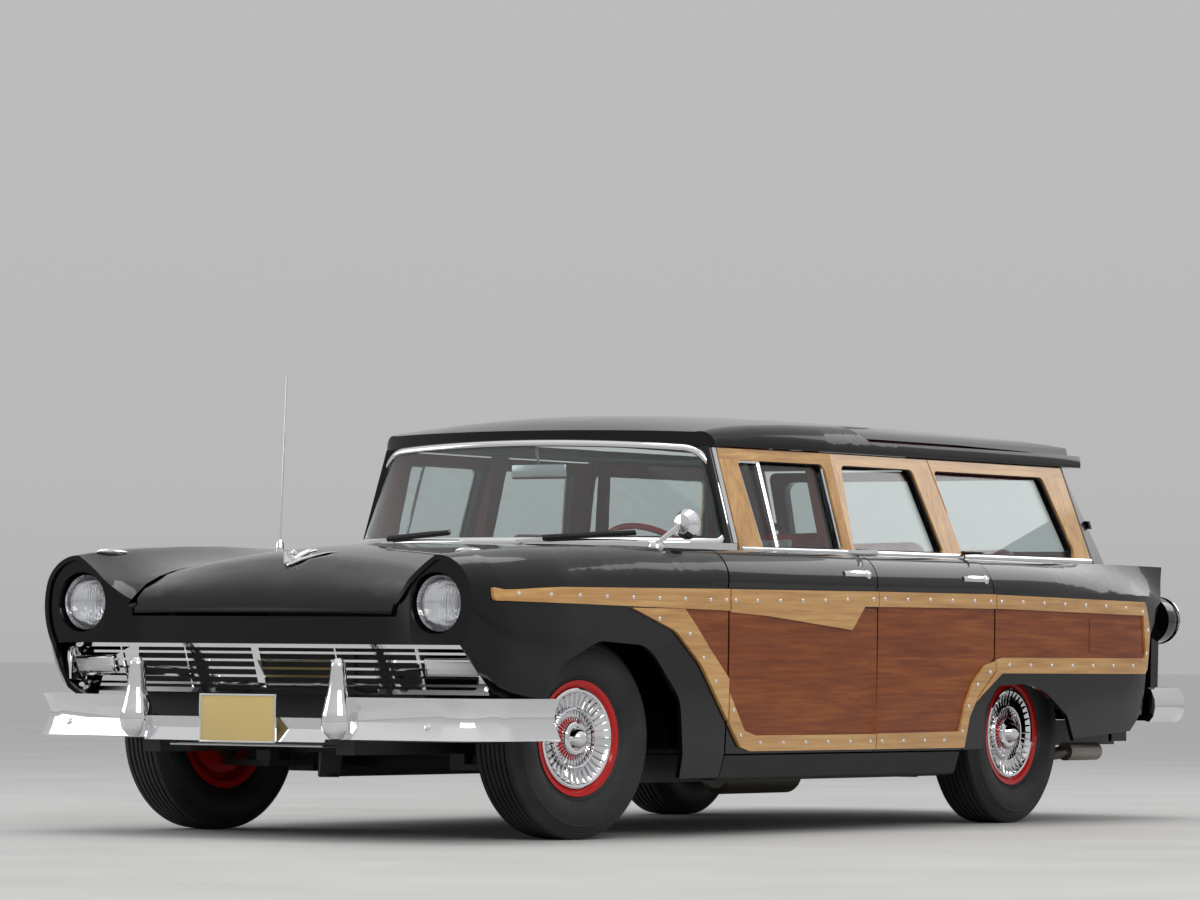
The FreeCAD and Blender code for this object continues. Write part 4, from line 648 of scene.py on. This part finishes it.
BELT_Z = 994
BELT_SECTION = ((-4, 10), (3, 10), (7, 5), (8, -2), (6, -9), (0, -12), (-4, -10))
BELT = [
    # name, body, nodes to follow, first station, last station
    ("belt_front_door", "front_left_door_body", ["front_left_door", "front_left_door_wood"], 1013, 1676),
    ("belt_rear_door", "rear_left_door_body", ["rear_left_door", "rear_left_door_wood"], 1684, 2462),
    ("belt_quarter", "body", ["quarter_panels", "body_wood", "window_frames"], 2474, 3440),
]
for name, body, nodes, s0, s1 in BELT:
    soup = Soup()
    rings = []
    for i in range(25):
        point, _ = flank(nodes, s0 + (s1 - s0) * i / 24, BELT_Z)
        middle = point + Vector((0.0, 0, -0.004))
        rings.append([middle + Vector((dx / 1000, 0, dz / 1000)) for dx, dz in BELT_SECTION])
    soup.add(*loft(rings))
    both_sides(soup, name, CHROME, body)

# Door handles: a flat bar with a round button behind it

HANDLES = [("front_left_door", 1546, 912), ("rear_left_door", 2384, 906)]
BUTTON = Vector((0, 0.078, 0))
for node, station, z in HANDLES:
    soup = Soup()
    point, normal = flank([node], station, z)
    grip = []
    for i in range(13):
        u = i / 12.0
        out = 0.007 * math.sin(math.pi * u) ** 0.4 if 0 < u < 1 else 0.0
        grip.append(point + normal * (out + 0.001) + Vector((0, (u - 0.5) * 0.150 - 0.012, 0)))
    soup.add(*tube(grip, lambda u: 0.010 + 0.002 * math.sin(math.pi * u), 10, 0.5, normal))
    soup.add(*dome(point + BUTTON, normal, 0.017, 0.006, 18))
    soup.add(*dome(point + BUTTON + normal * 0.003, normal, 0.010, 0.009, 18))
    both_sides(soup, "handle_" + node, CHROME, node + "_body")

# Wheels: cover with radial fins, and ribbed tyre

TYRE_RADIUS = 0.338
GROOVE_FLOOR = 0.3305
GROOVES = (0.054, 0.032, 0.010)
SIDEWALL_RIBS = (0.290, 0.298, 0.306, 0.314)
FINS = 36
WHEELS = [
    ("front_left", at(748.3, -14.44, 338), Vector((0.986286, -0.165048, 0))),
    ("front_right", at(-748.3, 14.44, 338), Vector((-0.986286, 0.165048, 0))),
    ("rear_left", at(716.5, 2946.4, 338), Vector((1, 0, 0))),
    ("rear_right", at(-716.5, 2946.4, 338), Vector((-1, 0, 0))),
]


def cover_soup():
    """Dished wheel cover: outer bead, inner ring, hub cone and radial fins."""
    soup = Soup()
    dish = [(0.0, 0.060), (0.030, 0.060), (0.052, 0.056), (0.066, 0.050), (0.080, 0.0475), (0.110, 0.0495),
            (0.140, 0.0575), (0.150, 0.063), (0.156, 0.070), (0.163, 0.0725), (0.168, 0.070), (0.170, 0.064),
            (0.166, 0.060)]
    soup.add(*revolve(dish, 96))
    ring = [(0.094, 0.051), (0.0955, 0.0605), (0.099, 0.0625), (0.1025, 0.0605), (0.104, 0.052)]
    soup.add(*revolve(ring, 96))
    cone = [(0.058, 0.054), (0.056, 0.066), (0.050, 0.070), (0.040, 0.071), (0.036, 0.078), (0.030, 0.090),
            (0.020, 0.099), (0.009, 0.104), (0.0, 0.105)]
    soup.add(*revolve(cone, 48))
    fin = []
    # radius, height, half width, depth
    for r, h, w, d in ((0.060, 0.058, 0.0016, 0.004), (0.090, 0.0585, 0.0024, 0.007),
                       (0.120, 0.0625, 0.0030, 0.008), (0.140, 0.0675, 0.0034, 0.007),
                       (0.153, 0.0705, 0.0030, 0.004)):
        fin.append([Vector((r, -w, h - d)), Vector((r, -w * 0.35, h)), Vector((r, w * 0.35, h)),
                    Vector((r, w, h - d))])
    for i in range(FINS):
        soup.add(*loft(fin), Matrix.Rotation(2 * math.pi * i / FINS, 4, "Z"))
    return soup


def tyre_soup():
    """Cross-section with circumferential grooves and fine sidewall ribs."""
    side = [(0.1786, 0.0655), (0.1985, 0.074), (0.206, 0.0815), (0.2075, 0.0835), (0.2095, 0.0825),
            (0.225, 0.092), (0.245, 0.1), (0.262, 0.1025), (0.282, 0.1015)]
    for rib in SIDEWALL_RIBS:
        rise = rib - SIDEWALL_RIBS[0]
        side += [(rib, 0.0995 - rise * 0.42), (rib + 0.0022, 0.1005 - rise * 0.42),
                 (rib + 0.0052, 0.1 - rise * 0.44), (rib + 0.0062, 0.0983 - rise * 0.45)]
    side += [(0.326, 0.084), (0.3345, 0.078), (0.336, 0.076), (0.3368, 0.068)]
    for groove in GROOVES:
        side += [(TYRE_RADIUS - 0.0004, groove + 0.0042), (GROOVE_FLOOR, groove + 0.003),
                 (GROOVE_FLOOR, groove - 0.003), (TYRE_RADIUS - 0.0002, groove - 0.0042)]
    soup = Soup()
    soup.add(*revolve(side + [(r, -h) for r, h in reversed(side)], 120, True))
    return soup


cover = cover_soup()
tyre = tyre_soup()
for name, centre, outward in WHEELS:
    place = aimed(centre, outward, "X")
    cover.moved(place).build(name + "_cover", CHROME, name + "_wheel_body", angle=28)
    made = tyre.moved(place).build(name + "_tread", TYRE, name + "_wheel_body", angle=25)
    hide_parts(name + "_tyre")

# Headlamp backs, and parking lamps that lie on the leaning grille

soup = Soup()
for x in (732, -732):
    soup.add(*revolve([(0.0, 0.0), (0.082, 0.0002)], 48),
             Matrix.Translation(at(x, -682, 781)) @ Matrix.Rotation(math.radians(90), 4, "X"))
soup.build("lamp_backs", CHROME)

near, far = (from_front("grille", x, 586)[0] for x in (676, 800))
low = from_front("grille", 738, 560)[0]
across = (far - near).normalized()
outward = across.cross((near + far) / 2 - low).normalized()
outward = outward if outward.y < 0 else -outward
rise = outward.cross(across)
rise = rise if rise.z > 0 else -rise
place = Matrix((across, -outward, rise)).transposed().to_4x4()
place.translation = Vector((0.738, ((near + far) / 2).y - 0.004, 0.5735))


def framed(size, edge):
    """Chamfered block about the origin: width, depth and height."""
    verts, faces = slab(-size[0] / 2, size[0] / 2, 0, size[1], 0, size[2], edge)
    return [v - at(0, size[1] / 2, size[2] / 2) for v in verts], faces


soup = Soup()
soup.add(*framed((198, 26, 62), 7), place)
for dx in (-0.082, 0.082):
    soup.add(*dome(place @ Vector((dx, -0.017, 0)), outward, 0.0045, 0.003))
both_sides(soup, "parking_rim", CHROME)
soup = Soup()
soup.add(*framed((180, 34, 46), 6), place)
both_sides(soup, "parking_lens", LAMP_WHITE)

# Blank plate with its frame, a little to the left of the middle

hits = [from_front("front_bumper", x, z) for x in range(-120, 181, 30) for z in range(326, 475, 12)]
face = (min(hit[0].y for hit in hits if hit) - SHIFT) * 1000 - 3
soup = Soup()
soup.add(*slab(-127, 177, face - 5, face - 2, 322, 474, 1.2))
soup.build("front_plate", PLATE)
soup = Soup()
for z in (318, 472):
    soup.add(*slab(-133, 183, face - 8, face, z, z + 7, 2.5))
for x in (-133, 176):
    soup.add(*slab(x, x + 7, face - 8, face, 318, 479, 2.5))
for x in (-60, 110):
    soup.add(*slab(x, x + 24, face, face + 40, 350, 366, 2))
soup.build("front_plate_frame", CHROME)

soup = Soup()
for x in (740, -740):
    point, normal, _ = from_front("front_bumper", x, 378)
    soup.add(*dome(point, normal, 0.013, 0.006, 20))
soup.build("bumper_bolts", CHROME)

soup = Soup()
soup.add(*slab(-300, 330, -800, -700, 306, 314, 3))
soup.build("stone_shield", DULL_CHROME)

# Fin on top of each front fender

soup = Soup()
spine = [from_above("front_fenders", 745, station) + UP * 0.003 for station in range(-640, -470, 14)]
soup.add(*tube(spine, lambda u: 0.003 + 0.010 * math.sin(math.pi * u) ** 0.7, 12, 1.0))
both_sides(soup, "fender_fin", CHROME)

# Hood ornament: arrow-shaped wing with a ringed ball

WING = ((0, -548), (26, -520), (56, -486), (86, -452), (112, -424))
BALL = [(0.0, 0.012), (0.008, 0.010), (0.0115, 0.004), (0.0165, 0.005), (0.018, 0.0), (0.0165, -0.005),
        (0.0115, -0.004), (0.008, -0.010), (0.0, -0.012)]
soup = Soup()
crest = [from_above("hood", 0, s) for s in (-560, -530, -490, -440, -400)]
soup.add(*tube([p + UP * 0.004 for p in crest], lambda u: 0.004 + 0.011 * math.sin(math.pi * u * 0.9),
               14, 0.7))
for side in (1, -1):
    wing = [from_above("hood", side * x, s) + UP * 0.003 for x, s in WING]
    soup.add(*tube(wing, lambda u: 0.015 * (1 - u) + 0.002, 12, 0.5))
ball = crest[1] + UP * 0.026
soup.add(*tube([crest[1], ball], 0.005))
soup.add(*revolve(BALL, 28), Matrix.Translation(ball) @ Matrix.Rotation(math.radians(90), 4, "X"))
soup.build("hood_ornament", CHROME, "hood_body")

# Bright surround of the windshield

# Half ellipses of the glass low down and high up: half width, depth, height
GLASS_LOW = (783.0, 418.0, 1006.0)
GLASS_HIGH = (691.0, 138.0, 1385.0)
GLASS_CENTRE = 1030
GLASS_EDGE = 42.0
SURROUND_SECTION = ((-13, -3), (-13, 4), (-8, 8), (0, 9.5), (8, 8), (13, 4), (13, -3))


def glass_point(reach, z):
    """Point of the windshield's outer face, reached along it from its left rear edge, in millimetres."""
    k = (z - GLASS_LOW[2]) / (GLASS_HIGH[2] - GLASS_LOW[2])
    half, depth = (a + (b - a) * k for a, b in zip(GLASS_LOW[:2], GLASS_HIGH[:2]))
    angle = math.asin(GLASS_EDGE / depth)
    while reach > 0 and angle < math.pi / 2:
        turn = min(0.004, math.pi / 2 - angle)
        reach -= turn * math.hypot(half * math.sin(angle), depth * math.cos(angle))
        angle += turn
    x, back = half * math.cos(angle), depth * math.sin(angle)
    normal = Vector((math.cos(angle) / half, -math.sin(angle) / depth, 0)).normalized()
    normal = (normal + Vector((0, 0, 0.3 if angle < 0.4 else 0.6))).normalized()
    return at(x, GLASS_CENTRE - back, z), normal


def header(reach):
    """Height of the chrome under the roof edge at a reach along the glass."""
    point, _ = glass_point(reach, 1355)
    return 1366 - 30 * (point.x / 0.72) ** 2


def surround():
    """Moulding round the glass: foot, left side and header up to the middle, then mirrored."""
    path = [(reach, 1013.0) for reach in range(1000, 80, -40)]
    for a in (math.radians(d) for d in range(0, 91, 10)):
        path.append((70 - 62 * math.sin(a), 1075 - 62 * math.cos(a)))
    path += [(8.0, float(z)) for z in range(1100, 1260, 30)]
    top = header(90)
    for a in (math.radians(d) for d in range(0, 91, 9)):
        path.append((90 - 82 * math.cos(a), top - 82 + 82 * math.sin(a)))
    path += [(reach, header(reach)) for reach in list(range(130, 700, 40)) + [1000]]
    left = [glass_point(*item) for item in path]
    for p in (left[0][0], left[-1][0]):
        p.x = 0.0
    right = [(Vector((-p.x, p.y, p.z)), Vector((-n.x, n.y, n.z))) for p, n in reversed(left[1:-1])]
    loop = left + right
    rings = []
    for i, (point, normal) in enumerate(loop):
        along = (loop[(i + 1) % len(loop)][0] - loop[i - 1][0]).normalized()
        across = along.cross(normal).normalized()
        out = across.cross(along).normalized()
        rings.append([point + across * (w / 1000) + out * (h / 1000) for w, h in SURROUND_SECTION])
    soup = Soup()
    soup.add(*loft(rings + rings[:1], False))
    return soup


surround().build("windshield_surround", CHROME, angle=50)
strip = panel(["cowl"], [(1012, 982), (1346, 982)], [(1012, 1001), (1346, 1001)], levels(1012, 1346),
              (1.0, 6.0), 4)
both_sides(strip, "pillar_moulding", CHROME)

# Grille ends: bright returns from the top bar to the lower one

soup = Soup()
path = []
for x, z in ((812, 637), (842, 633), (858, 618), (864, 590), (869, 560), (872, 528), (866, 508), (838, 502)):
    hit = from_front("grille", min(x, 866), z)
    path.append(hit[0] - REARWARD * 0.004 if hit else at(x, -575 + (640 - z) * 0.9, z))
soup.add(*tube(path, 0.013, 10, 0.6))
both_sides(soup, "grille_end", CHROME)

# Wiper blades, mirror glass, vent windows and window lips

soup = Soup()
for x0, x1 in ((150, 560), (-560, -150)):
    start, end = (at(x, GLASS_CENTRE - 430 * math.sqrt(1 - (x / 795) ** 2) - back, z)
                  for x, back, z in ((x0, 30, 1014), (x1, 16, 1040)))
    blade = [start + (end - start) * k + Vector((0, 0.004, 0.004)) for k in (0.22, 0.5, 0.8, 1.0)]
    soup.add(*tube(blade, 0.009, 8, 1.2))
soup.build("wiper_blades", RUBBER)

soup = Soup()
axis = Vector((0.1, 1, 0)).normalized()
soup.add(*dome(at(880, 540, 1066) + axis * 0.0102, axis, 0.0485, 0.0016, 36))
soup.build("door_mirror_glass", CHROME)

FRAME_LOW, FRAME_HIGH = 991, 1318
WINDOWS = [
    # name, frame nodes, body, corners as (station, height, radius)
    ("front", ["front_left_door_wood"], "front_left_door_body",
     [(1142, 1000, 12), (1630, 1000, 14), (1630, 1306, 34), (1112, 1306, 26)]),
    ("rear", ["rear_left_door_wood"], "rear_left_door_body",
     [(1700, 1000, 14), (2336, 1000, 14), (2243, 1306, 30), (1742, 1306, 30)]),
    ("quarter", ["body_wood", "rear_left_door_wood"], "body",
     [(2466, 1000, 14), (3338, 1000, 30), (3215, 1306, 34), (2392, 1306, 24)]),
]


def window_point(nodes, station, z, depth):
    """Point below the wood frame's outer face, the face taken as straight from belt to gutter."""
    low, high = flank(nodes, station, FRAME_LOW)[0], flank(nodes, station, FRAME_HIGH)[0]
    return low + (high - low) * ((z - FRAME_LOW) / (FRAME_HIGH - FRAME_LOW)) - Vector((depth / 1000, 0, 0))


def rounded(corners):
    """Closed outline of (station, height) with arcs at the corners."""
    out = []
    count = len(corners)
    for i, (s, z, r) in enumerate(corners):
        here = Vector((s, z))
        back = (Vector(corners[i - 1][:2]) - here).normalized()
        ahead = (Vector(corners[(i + 1) % count][:2]) - here).normalized()
        a, b = here + back * r, here + ahead * r
        out += [a.lerp(here, k).lerp(here.lerp(b, k), k) for k in (0, 0.25, 0.5, 0.75, 1)]
    return out


for name, nodes, body, corners in WINDOWS:
    soup = Soup()
    ring = [window_point(nodes, s, z, 13) for s, z in rounded(corners)]
    soup.add(*tube(ring + ring[:2], 0.0045, 8))
    both_sides(soup, name + "_window_lip", RUBBER, body)

_, nodes, body, _ = WINDOWS[0]
VENT_BARS = [
    # radius, flatness, depth, (station, height) along the bar: post, front and top edge, pane's rear edge
    (0.009, 0.55, 10, [(1245, 1002), (1245, 1150), (1245, 1302)]),
    (0.006, 1.0, 9, [(1148, 1004), (1133, 1150), (1119, 1288), (1124, 1299), (1140, 1302), (1190, 1302),
                     (1245, 1302)]),
    (0.004, 1.0, 10, [(1622, 1004), (1622, 1150), (1622, 1290)]),
]
soup = Soup()
for radius, flat, depth, bar in VENT_BARS:
    soup.add(*tube([window_point(nodes, s, z, depth) for s, z in bar], radius, 8, flat))
both_sides(soup, "vent_frame", CHROME, body)

# Inside mirror

soup = Soup()
soup.add(*slab(-118, 118, 930, 946, 1240, 1296, 9))
soup.build("inside_mirror_shell", DULL_CHROME)
soup = Soup()
soup.add(*tube([at(0, 940, 1290), at(0, 925, 1320), at(0, 918, 1348)], 0.005))
soup.build("inside_mirror_arm", DULL_CHROME)

# Padded benches: crowned forms with sewn channels, red round a pale middle


def pillow(size, cells, radius, crown, channels=0):
    """Padded block about the origin: round edges, crowned top, drawn-in sides, channels sewn across."""
    half = [s / 2 for s in size]
    inner = [h - radius for h in half]
    steps = []
    for n in cells:
        even = [2 * i / n - 1 for i in range(n + 1)]
        steps.append([0.55 * t + 0.45 * math.sin(math.pi * t / 2) for t in even])
    soup = Soup()
    for flat in range(3):
        a, b = [i for i in range(3) if i != flat]
        for sign in (-1.0, 1.0):
            rows = []
            for u in steps[a]:
                for v in steps[b]:
                    p = [0.0, 0.0, 0.0]
                    p[flat], p[a], p[b] = sign, u, v
                    rows.append(padded_point(p, half, inner, radius, crown, channels))
            n = len(steps[b])
            faces = [[i * n + j, i * n + j + 1, (i + 1) * n + j + 1, (i + 1) * n + j]
                     for i in range(len(steps[a]) - 1) for j in range(n - 1)]
            soup.add(rows, faces)
    return soup


def padded_point(p, half, inner, radius, crown, channels):
    """Where a point p of the unit cube's skin lies on the padded block."""
    v = Vector([p[i] * half[i] for i in range(3)])
    core = Vector([max(-inner[i], min(inner[i], v[i])) for i in range(3)])
    d = v - core
    if d.length > 1e-9:
        v = core + d.normalized() * radius
    top = max(p[2], 0.0)
    v.z += crown * (1 - p[0] ** 6) * (1 - p[1] ** 2) * top
    v.y -= 0.010 * math.copysign(abs(p[1]) ** 4, p[1]) * (1 - p[0] ** 2)
    v.x -= 0.006 * math.copysign(abs(p[0]) ** 4, p[0]) * (1 - p[1] ** 2)
    if channels and top > 0.5:
        pitch = 2 * half[0] / channels
        seam = abs((v.x / pitch) % 1.0 - 0.5) * pitch
        fade = max(0.0, 1 - abs(p[1]) ** 8)
        v.z += fade * (0.005 * (1 - (1 - 2 * seam / pitch) ** 2) - 0.005 * math.exp(-(seam / 0.006) ** 2))
    return v


BENCHES = [
    # name, front station, height, depth, half width, back height, lean, base
    ("front_bench", 1230, 640, 480, 690, 430, 90, 298),
    ("second_bench", 1925, 640, 440, 690, 410, 90, 298),
    ("folding_bench", 2900, 790, 420, 560, 250, 50, 596),
]


def bench_piece(place, shape, name, material):
    made = pillow(*shape).moved(place).build(name, material, angle=60)
    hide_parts("seats")


frames = Soup()
for name, front, height, depth, half, back, lean, base in BENCHES:
    wide, middle = 2 * half / 1000, (2 * half - 240) / 1000
    place = Matrix.Translation(at(0, front + depth / 2 - 4, height - 84))
    place = place @ Matrix.Rotation(-math.atan(20 / depth), 4, "X")
    bench_piece(place, ((wide, depth / 1000, 0.150), (70, 22, 8), 0.045, 0.010),
                name + "_cushion", RED_VINYL)
    bench_piece(place @ Matrix.Translation((0, -0.012, 0.052)),
                ((middle, (depth - 100) / 1000, 0.06), (96, 20, 4), 0.018, 0.008, 14),
                name + "_cushion_insert", SILVER_VINYL)
    tilt = math.atan((lean - 5) / (back + 110))
    place = Matrix.Translation(at(0, front + depth + (lean - 5) / 2, height + (back - 110) / 2))
    place = place @ Matrix.Rotation(math.pi / 2 - tilt, 4, "X")
    bench_piece(place, ((wide, (back + 104) / 1000, 0.104), (70, 24, 8), 0.04, 0.008),
                name + "_back", RED_VINYL)
    bench_piece(place @ Matrix.Translation((0, 0.030, 0.034)),
                ((middle, (back - 10) / 1000, 0.05), (96, 22, 4), 0.018, 0.008, 14),
                name + "_back_insert", SILVER_VINYL)
    for x in (-540, 100):
        frames.add(*slab(x, x + 440, front + 60, front + depth - 60, base + 1, height - 145, 8))
frames.build("bench_frames", STEEL)

# Headliner board with a rib under each roof bow

LINER_HALF, LINER_FRONT, LINER_LENGTH, BOW_PITCH = 630, 1070, 2400, 343
soup = Soup()
rows, columns = 61, 29
for lift in (0.004, 0.007):
    for i in range(rows):
        for j in range(columns):
            x = -LINER_HALF + 2 * LINER_HALF * j / (columns - 1)
            s = LINER_FRONT + LINER_LENGTH * i / (rows - 1)
            hit = cast(["roof"], at(x, s, 1380), UP)
            point = hit[0] if hit else at(x, s, 1400)
            rib = 0.003 * math.exp(-(((s - LINER_FRONT) % BOW_PITCH) / 9.0) ** 2)
            soup.v.append(point - Vector((0, 0, lift + rib)))
for layer in (0, 1):
    for i in range(rows - 1):
        for j in range(columns - 1):
            a = layer * rows * columns + i * columns + j
            quad = [a, a + 1, a + columns + 1, a + columns]
            soup.f.append(quad if layer == 0 else quad[::-1])
soup.build("headliner_board", RED_LINER, angle=60)

# Door trims with a pale band, armrest, inner handle and window crank

TRIM_LOW, TRIM_HIGH = 320, 955
BAND_LOW, BAND_HIGH = 610, 740
TRIMS = [
    # name, door, front end, rear ends
    ("front_trim", "front_left_door", 770, [(TRIM_LOW, 1630), (TRIM_HIGH, 1630)]),
    ("rear_trim", "rear_left_door", 1735,
     [(TRIM_LOW, 2258), (440, 2286), (527, 2345), (592, 2432), (612, 2460), (TRIM_HIGH, 2460)]),
]
for name, door, front, rear in TRIMS:
    body = door + "_body"
    board = panel([door], [(TRIM_LOW, front), (TRIM_HIGH, front)], rear, levels(TRIM_LOW, TRIM_HIGH, 20),
                  (0.4, 4.0), 24, trim_face)
    both_sides(board, name, RED_VINYL, body, angle=50)
    s0, s1 = front + 50, rear[-1][1] - 60
    band = panel([door], [(BAND_LOW, s0), (BAND_HIGH, s0)], [(BAND_LOW, s1), (BAND_HIGH, s1)],
                 levels(BAND_LOW, BAND_HIGH, 12), (3.0, 7.0), 24, trim_face)
    both_sides(band, name + "_band", SILVER_VINYL, body, angle=50)
    middle = (s0 + s1) / 2
    rest = pillow((0.3, 0.06, 0.05), (30, 8, 6), 0.02, 0.004)
    rest = rest.moved(Matrix.Translation(at(836, middle, 590)) @ Matrix.Rotation(math.pi / 2, 4, "Z"))
    for side, form in (("left", rest), ("right", rest.mirrored())):
        made = form.build(name + "_armrest_" + side, RED_VINYL, body.replace("left", side))
    soup = Soup()
    for s, z, reach in ((middle - 160, 560, 90), (middle + 170, 700, 70)):
        point, normal = trim_face([door], s, z)
        soup.add(*dome(point + normal * 0.004, normal, 0.018, 0.010, 18))
        arm = [point + normal * 0.012, point + normal * 0.022 + Vector((0, reach / 2000, -0.01)),
               point + normal * 0.024 + Vector((0, reach / 1000, -0.02))]
        soup.add(*tube(arm, 0.006, 8))
    both_sides(soup, name + "_handles", CHROME, body)

# Instrument panel

DIALS = [
    # x, height, rim radius, face radius
    (380, 838, 0.078, 0.070),
    (262, 838, 0.034, 0.027),
    (498, 838, 0.034, 0.027),
]
soup = Soup()
for x, z, r, _ in DIALS:
    rim = [(r, 0.0), (r, 0.010), (r - 0.004, 0.013), (r - 0.009, 0.010), (r - 0.009, 0.004)]
    soup.add(*revolve(rim, 40), aimed(at(x, 1041, z), REARWARD))
soup.add(*slab(-112, 112, 1036, 1050, 800, 856, 5))
soup.add(*slab(-740, 740, 1036, 1047, 770, 779, 3))
for x in (-84, 84, -200, 200):
    soup.add(*dome(at(x, 1048, 828), REARWARD, 0.014, 0.02, 16))
soup.build("dash_brightwork", CHROME)
soup = Soup()
for x, z, _, r in DIALS:
    soup.add(*dome(at(x, 1044, z), REARWARD, r, 0.003, 36))
soup.add(*slab(-90, 90, 1049, 1053, 832, 848, 1.5))
soup.build("dash_dials", IVORY)
soup = Soup()
soup.add(*slab(-640, -290, 1038, 1047, 792, 884, 4))
soup.build("glovebox_lid", RED_PANEL)

# Tail: lamp bezels, gate handles and the fuel door

BEZEL = [(0.0915, 0.0), (0.091, 0.010), (0.086, 0.016), (0.080, 0.016), (0.0775, 0.010), (0.0775, 0.0)]
LAMP_BUTTON = [(0.0, 0.046), (0.012, 0.044), (0.019, 0.038), (0.021, 0.030)]
soup = Soup()
place = aimed(at(868, 3970, 770), REARWARD)
soup.add(*revolve(BEZEL, 72), place)
soup.add(*revolve(LAMP_BUTTON, 36), place)
both_sides(soup, "tail_bezel", CHROME)

GATE_HANDLES = [
    # gate, height, (x, distance from the gate) along the grip, x of the feet
    ("tailgate", 905, ((-0.07, 0.004), (-0.055, 0.024), (0.0, 0.03), (0.055, 0.024), (0.07, 0.004)),
     (-0.07, 0.07)),
    ("liftgate", 1010, ((-0.06, 0.002), (-0.04, 0.018), (0.04, 0.018), (0.06, 0.002)), ()),
]
for gate, z, grip, feet in GATE_HANDLES:
    base, out, _ = from_behind(gate, 0, z)
    soup = Soup()
    for x in feet:
        soup.add(*dome(base + LEFT * x, out, 0.014, 0.008, 16))
    soup.add(*tube([base + LEFT * x + out * o for x, o in grip], 0.008, 10))
    soup.build(gate + "_handle", CHROME, gate + "_body")

lid = panel(["quarter_panels"], [(645, 3240), (772, 3240)], [(645, 3440), (772, 3440)], levels(645, 772, 12),
            (2.0, 5.0), 16)
lid.build("fuel_door", DARK_WOOD, angle=50)

# Stage, light and camera

bpy.ops.mesh.primitive_plane_add(size=400, location=(0, 0, 0))
ground = bpy.context.object
ground.name = "ground"
look = Look("ground", (0.5, 0.5, 0.5), 0.85)
look.paint(look.ramp(look.noise(1.3, 6.0), [(0.3, (0.47, 0.47, 0.465)), (0.7, (0.53, 0.53, 0.525))]))
look.bump(look.noise(60.0, 4.0), 0.08, 0.002)
ground.data.materials.append(look.m)

world = bpy.data.worlds.new("studio")
bpy.context.scene.world = world
world.use_nodes = True
sky = world.node_tree
background = sky.nodes["Background"]
coord = sky.nodes.new("ShaderNodeTexCoord")
split = sky.nodes.new("ShaderNodeSeparateXYZ")
tones = sky.nodes.new("ShaderNodeValToRGB")
fill(tones, [(0.0, (0.50, 0.50, 0.50)), (0.03, (0.54, 0.54, 0.535)), (0.35, (0.62, 0.62, 0.62)),
             (1.0, (1.0, 1.0, 1.0))])
sky.links.new(coord.outputs["Generated"], split.inputs[0])
sky.links.new(split.outputs["Z"], tones.inputs["Fac"])
sky.links.new(tones.outputs["Color"], background.inputs["Color"])
background.inputs["Strength"].default_value = 0.9


def softbox(name, place, target, size, power, tone=(1, 1, 1)):
    """Rectangular area lamp that faces a target."""
    data = bpy.data.lights.new(name, "AREA")
    data.shape = "RECTANGLE"
    data.size, data.size_y = size
    data.energy = power
    data.color = tone
    lamp = bpy.data.objects.new(name, data)
    bpy.context.scene.collection.objects.link(lamp)
    lamp.location = place
    lamp.rotation_mode = "QUATERNION"
    lamp.rotation_quaternion = (Vector(target) - Vector(place)).to_track_quat("-Z", "Y")


softbox("key", (9.0, -9.0, 6.5), (0, -0.5, 0.6), (7, 4), 430, (1.0, 0.98, 0.95))
softbox("top", (0.0, 0.5, 8.5), (0, 0, 0.8), (4, 9), 230)
softbox("fill", (-9.0, -5.0, 4.0), (0, 0, 0.8), (6, 4), 150, (0.95, 0.97, 1.0))
softbox("back", (3.0, 11.0, 6.0), (0, 1, 0.8), (8, 4), 170)

# The camera that a fit to the photograph's wheels gave, angles in degrees, focal length in sensor widths
CAMERA_PLACE = (11.7986, -16.4445 + SHIFT, 0.6192)
CAMERA_ANGLES = (33.58, 1.98, 0.5)
FOCAL = 5910.8 / 1200
SENSOR = 36.0
yaw, pitch, roll = (math.radians(angle) for angle in CAMERA_ANGLES)
forward = Vector((-math.sin(yaw) * math.cos(pitch), math.cos(yaw) * math.cos(pitch), math.sin(pitch)))
right = Vector((math.cos(yaw), math.sin(yaw), 0))
up = right.cross(forward)
right, up = right * math.cos(roll) + up * math.sin(roll), up * math.cos(roll) - right * math.sin(roll)
data = bpy.data.cameras.new("camera")
camera = bpy.data.objects.new("camera", data)
bpy.context.scene.collection.objects.link(camera)
turn = Matrix((right, up, -forward)).transposed().to_4x4()
camera.matrix_world = Matrix.Translation(CAMERA_PLACE) @ turn
data.sensor_width = SENSOR
data.lens = FOCAL * SENSOR
data.clip_end = 500.0
bpy.context.scene.camera = camera
bpy.context.scene.view_settings.view_transform = "Standard"
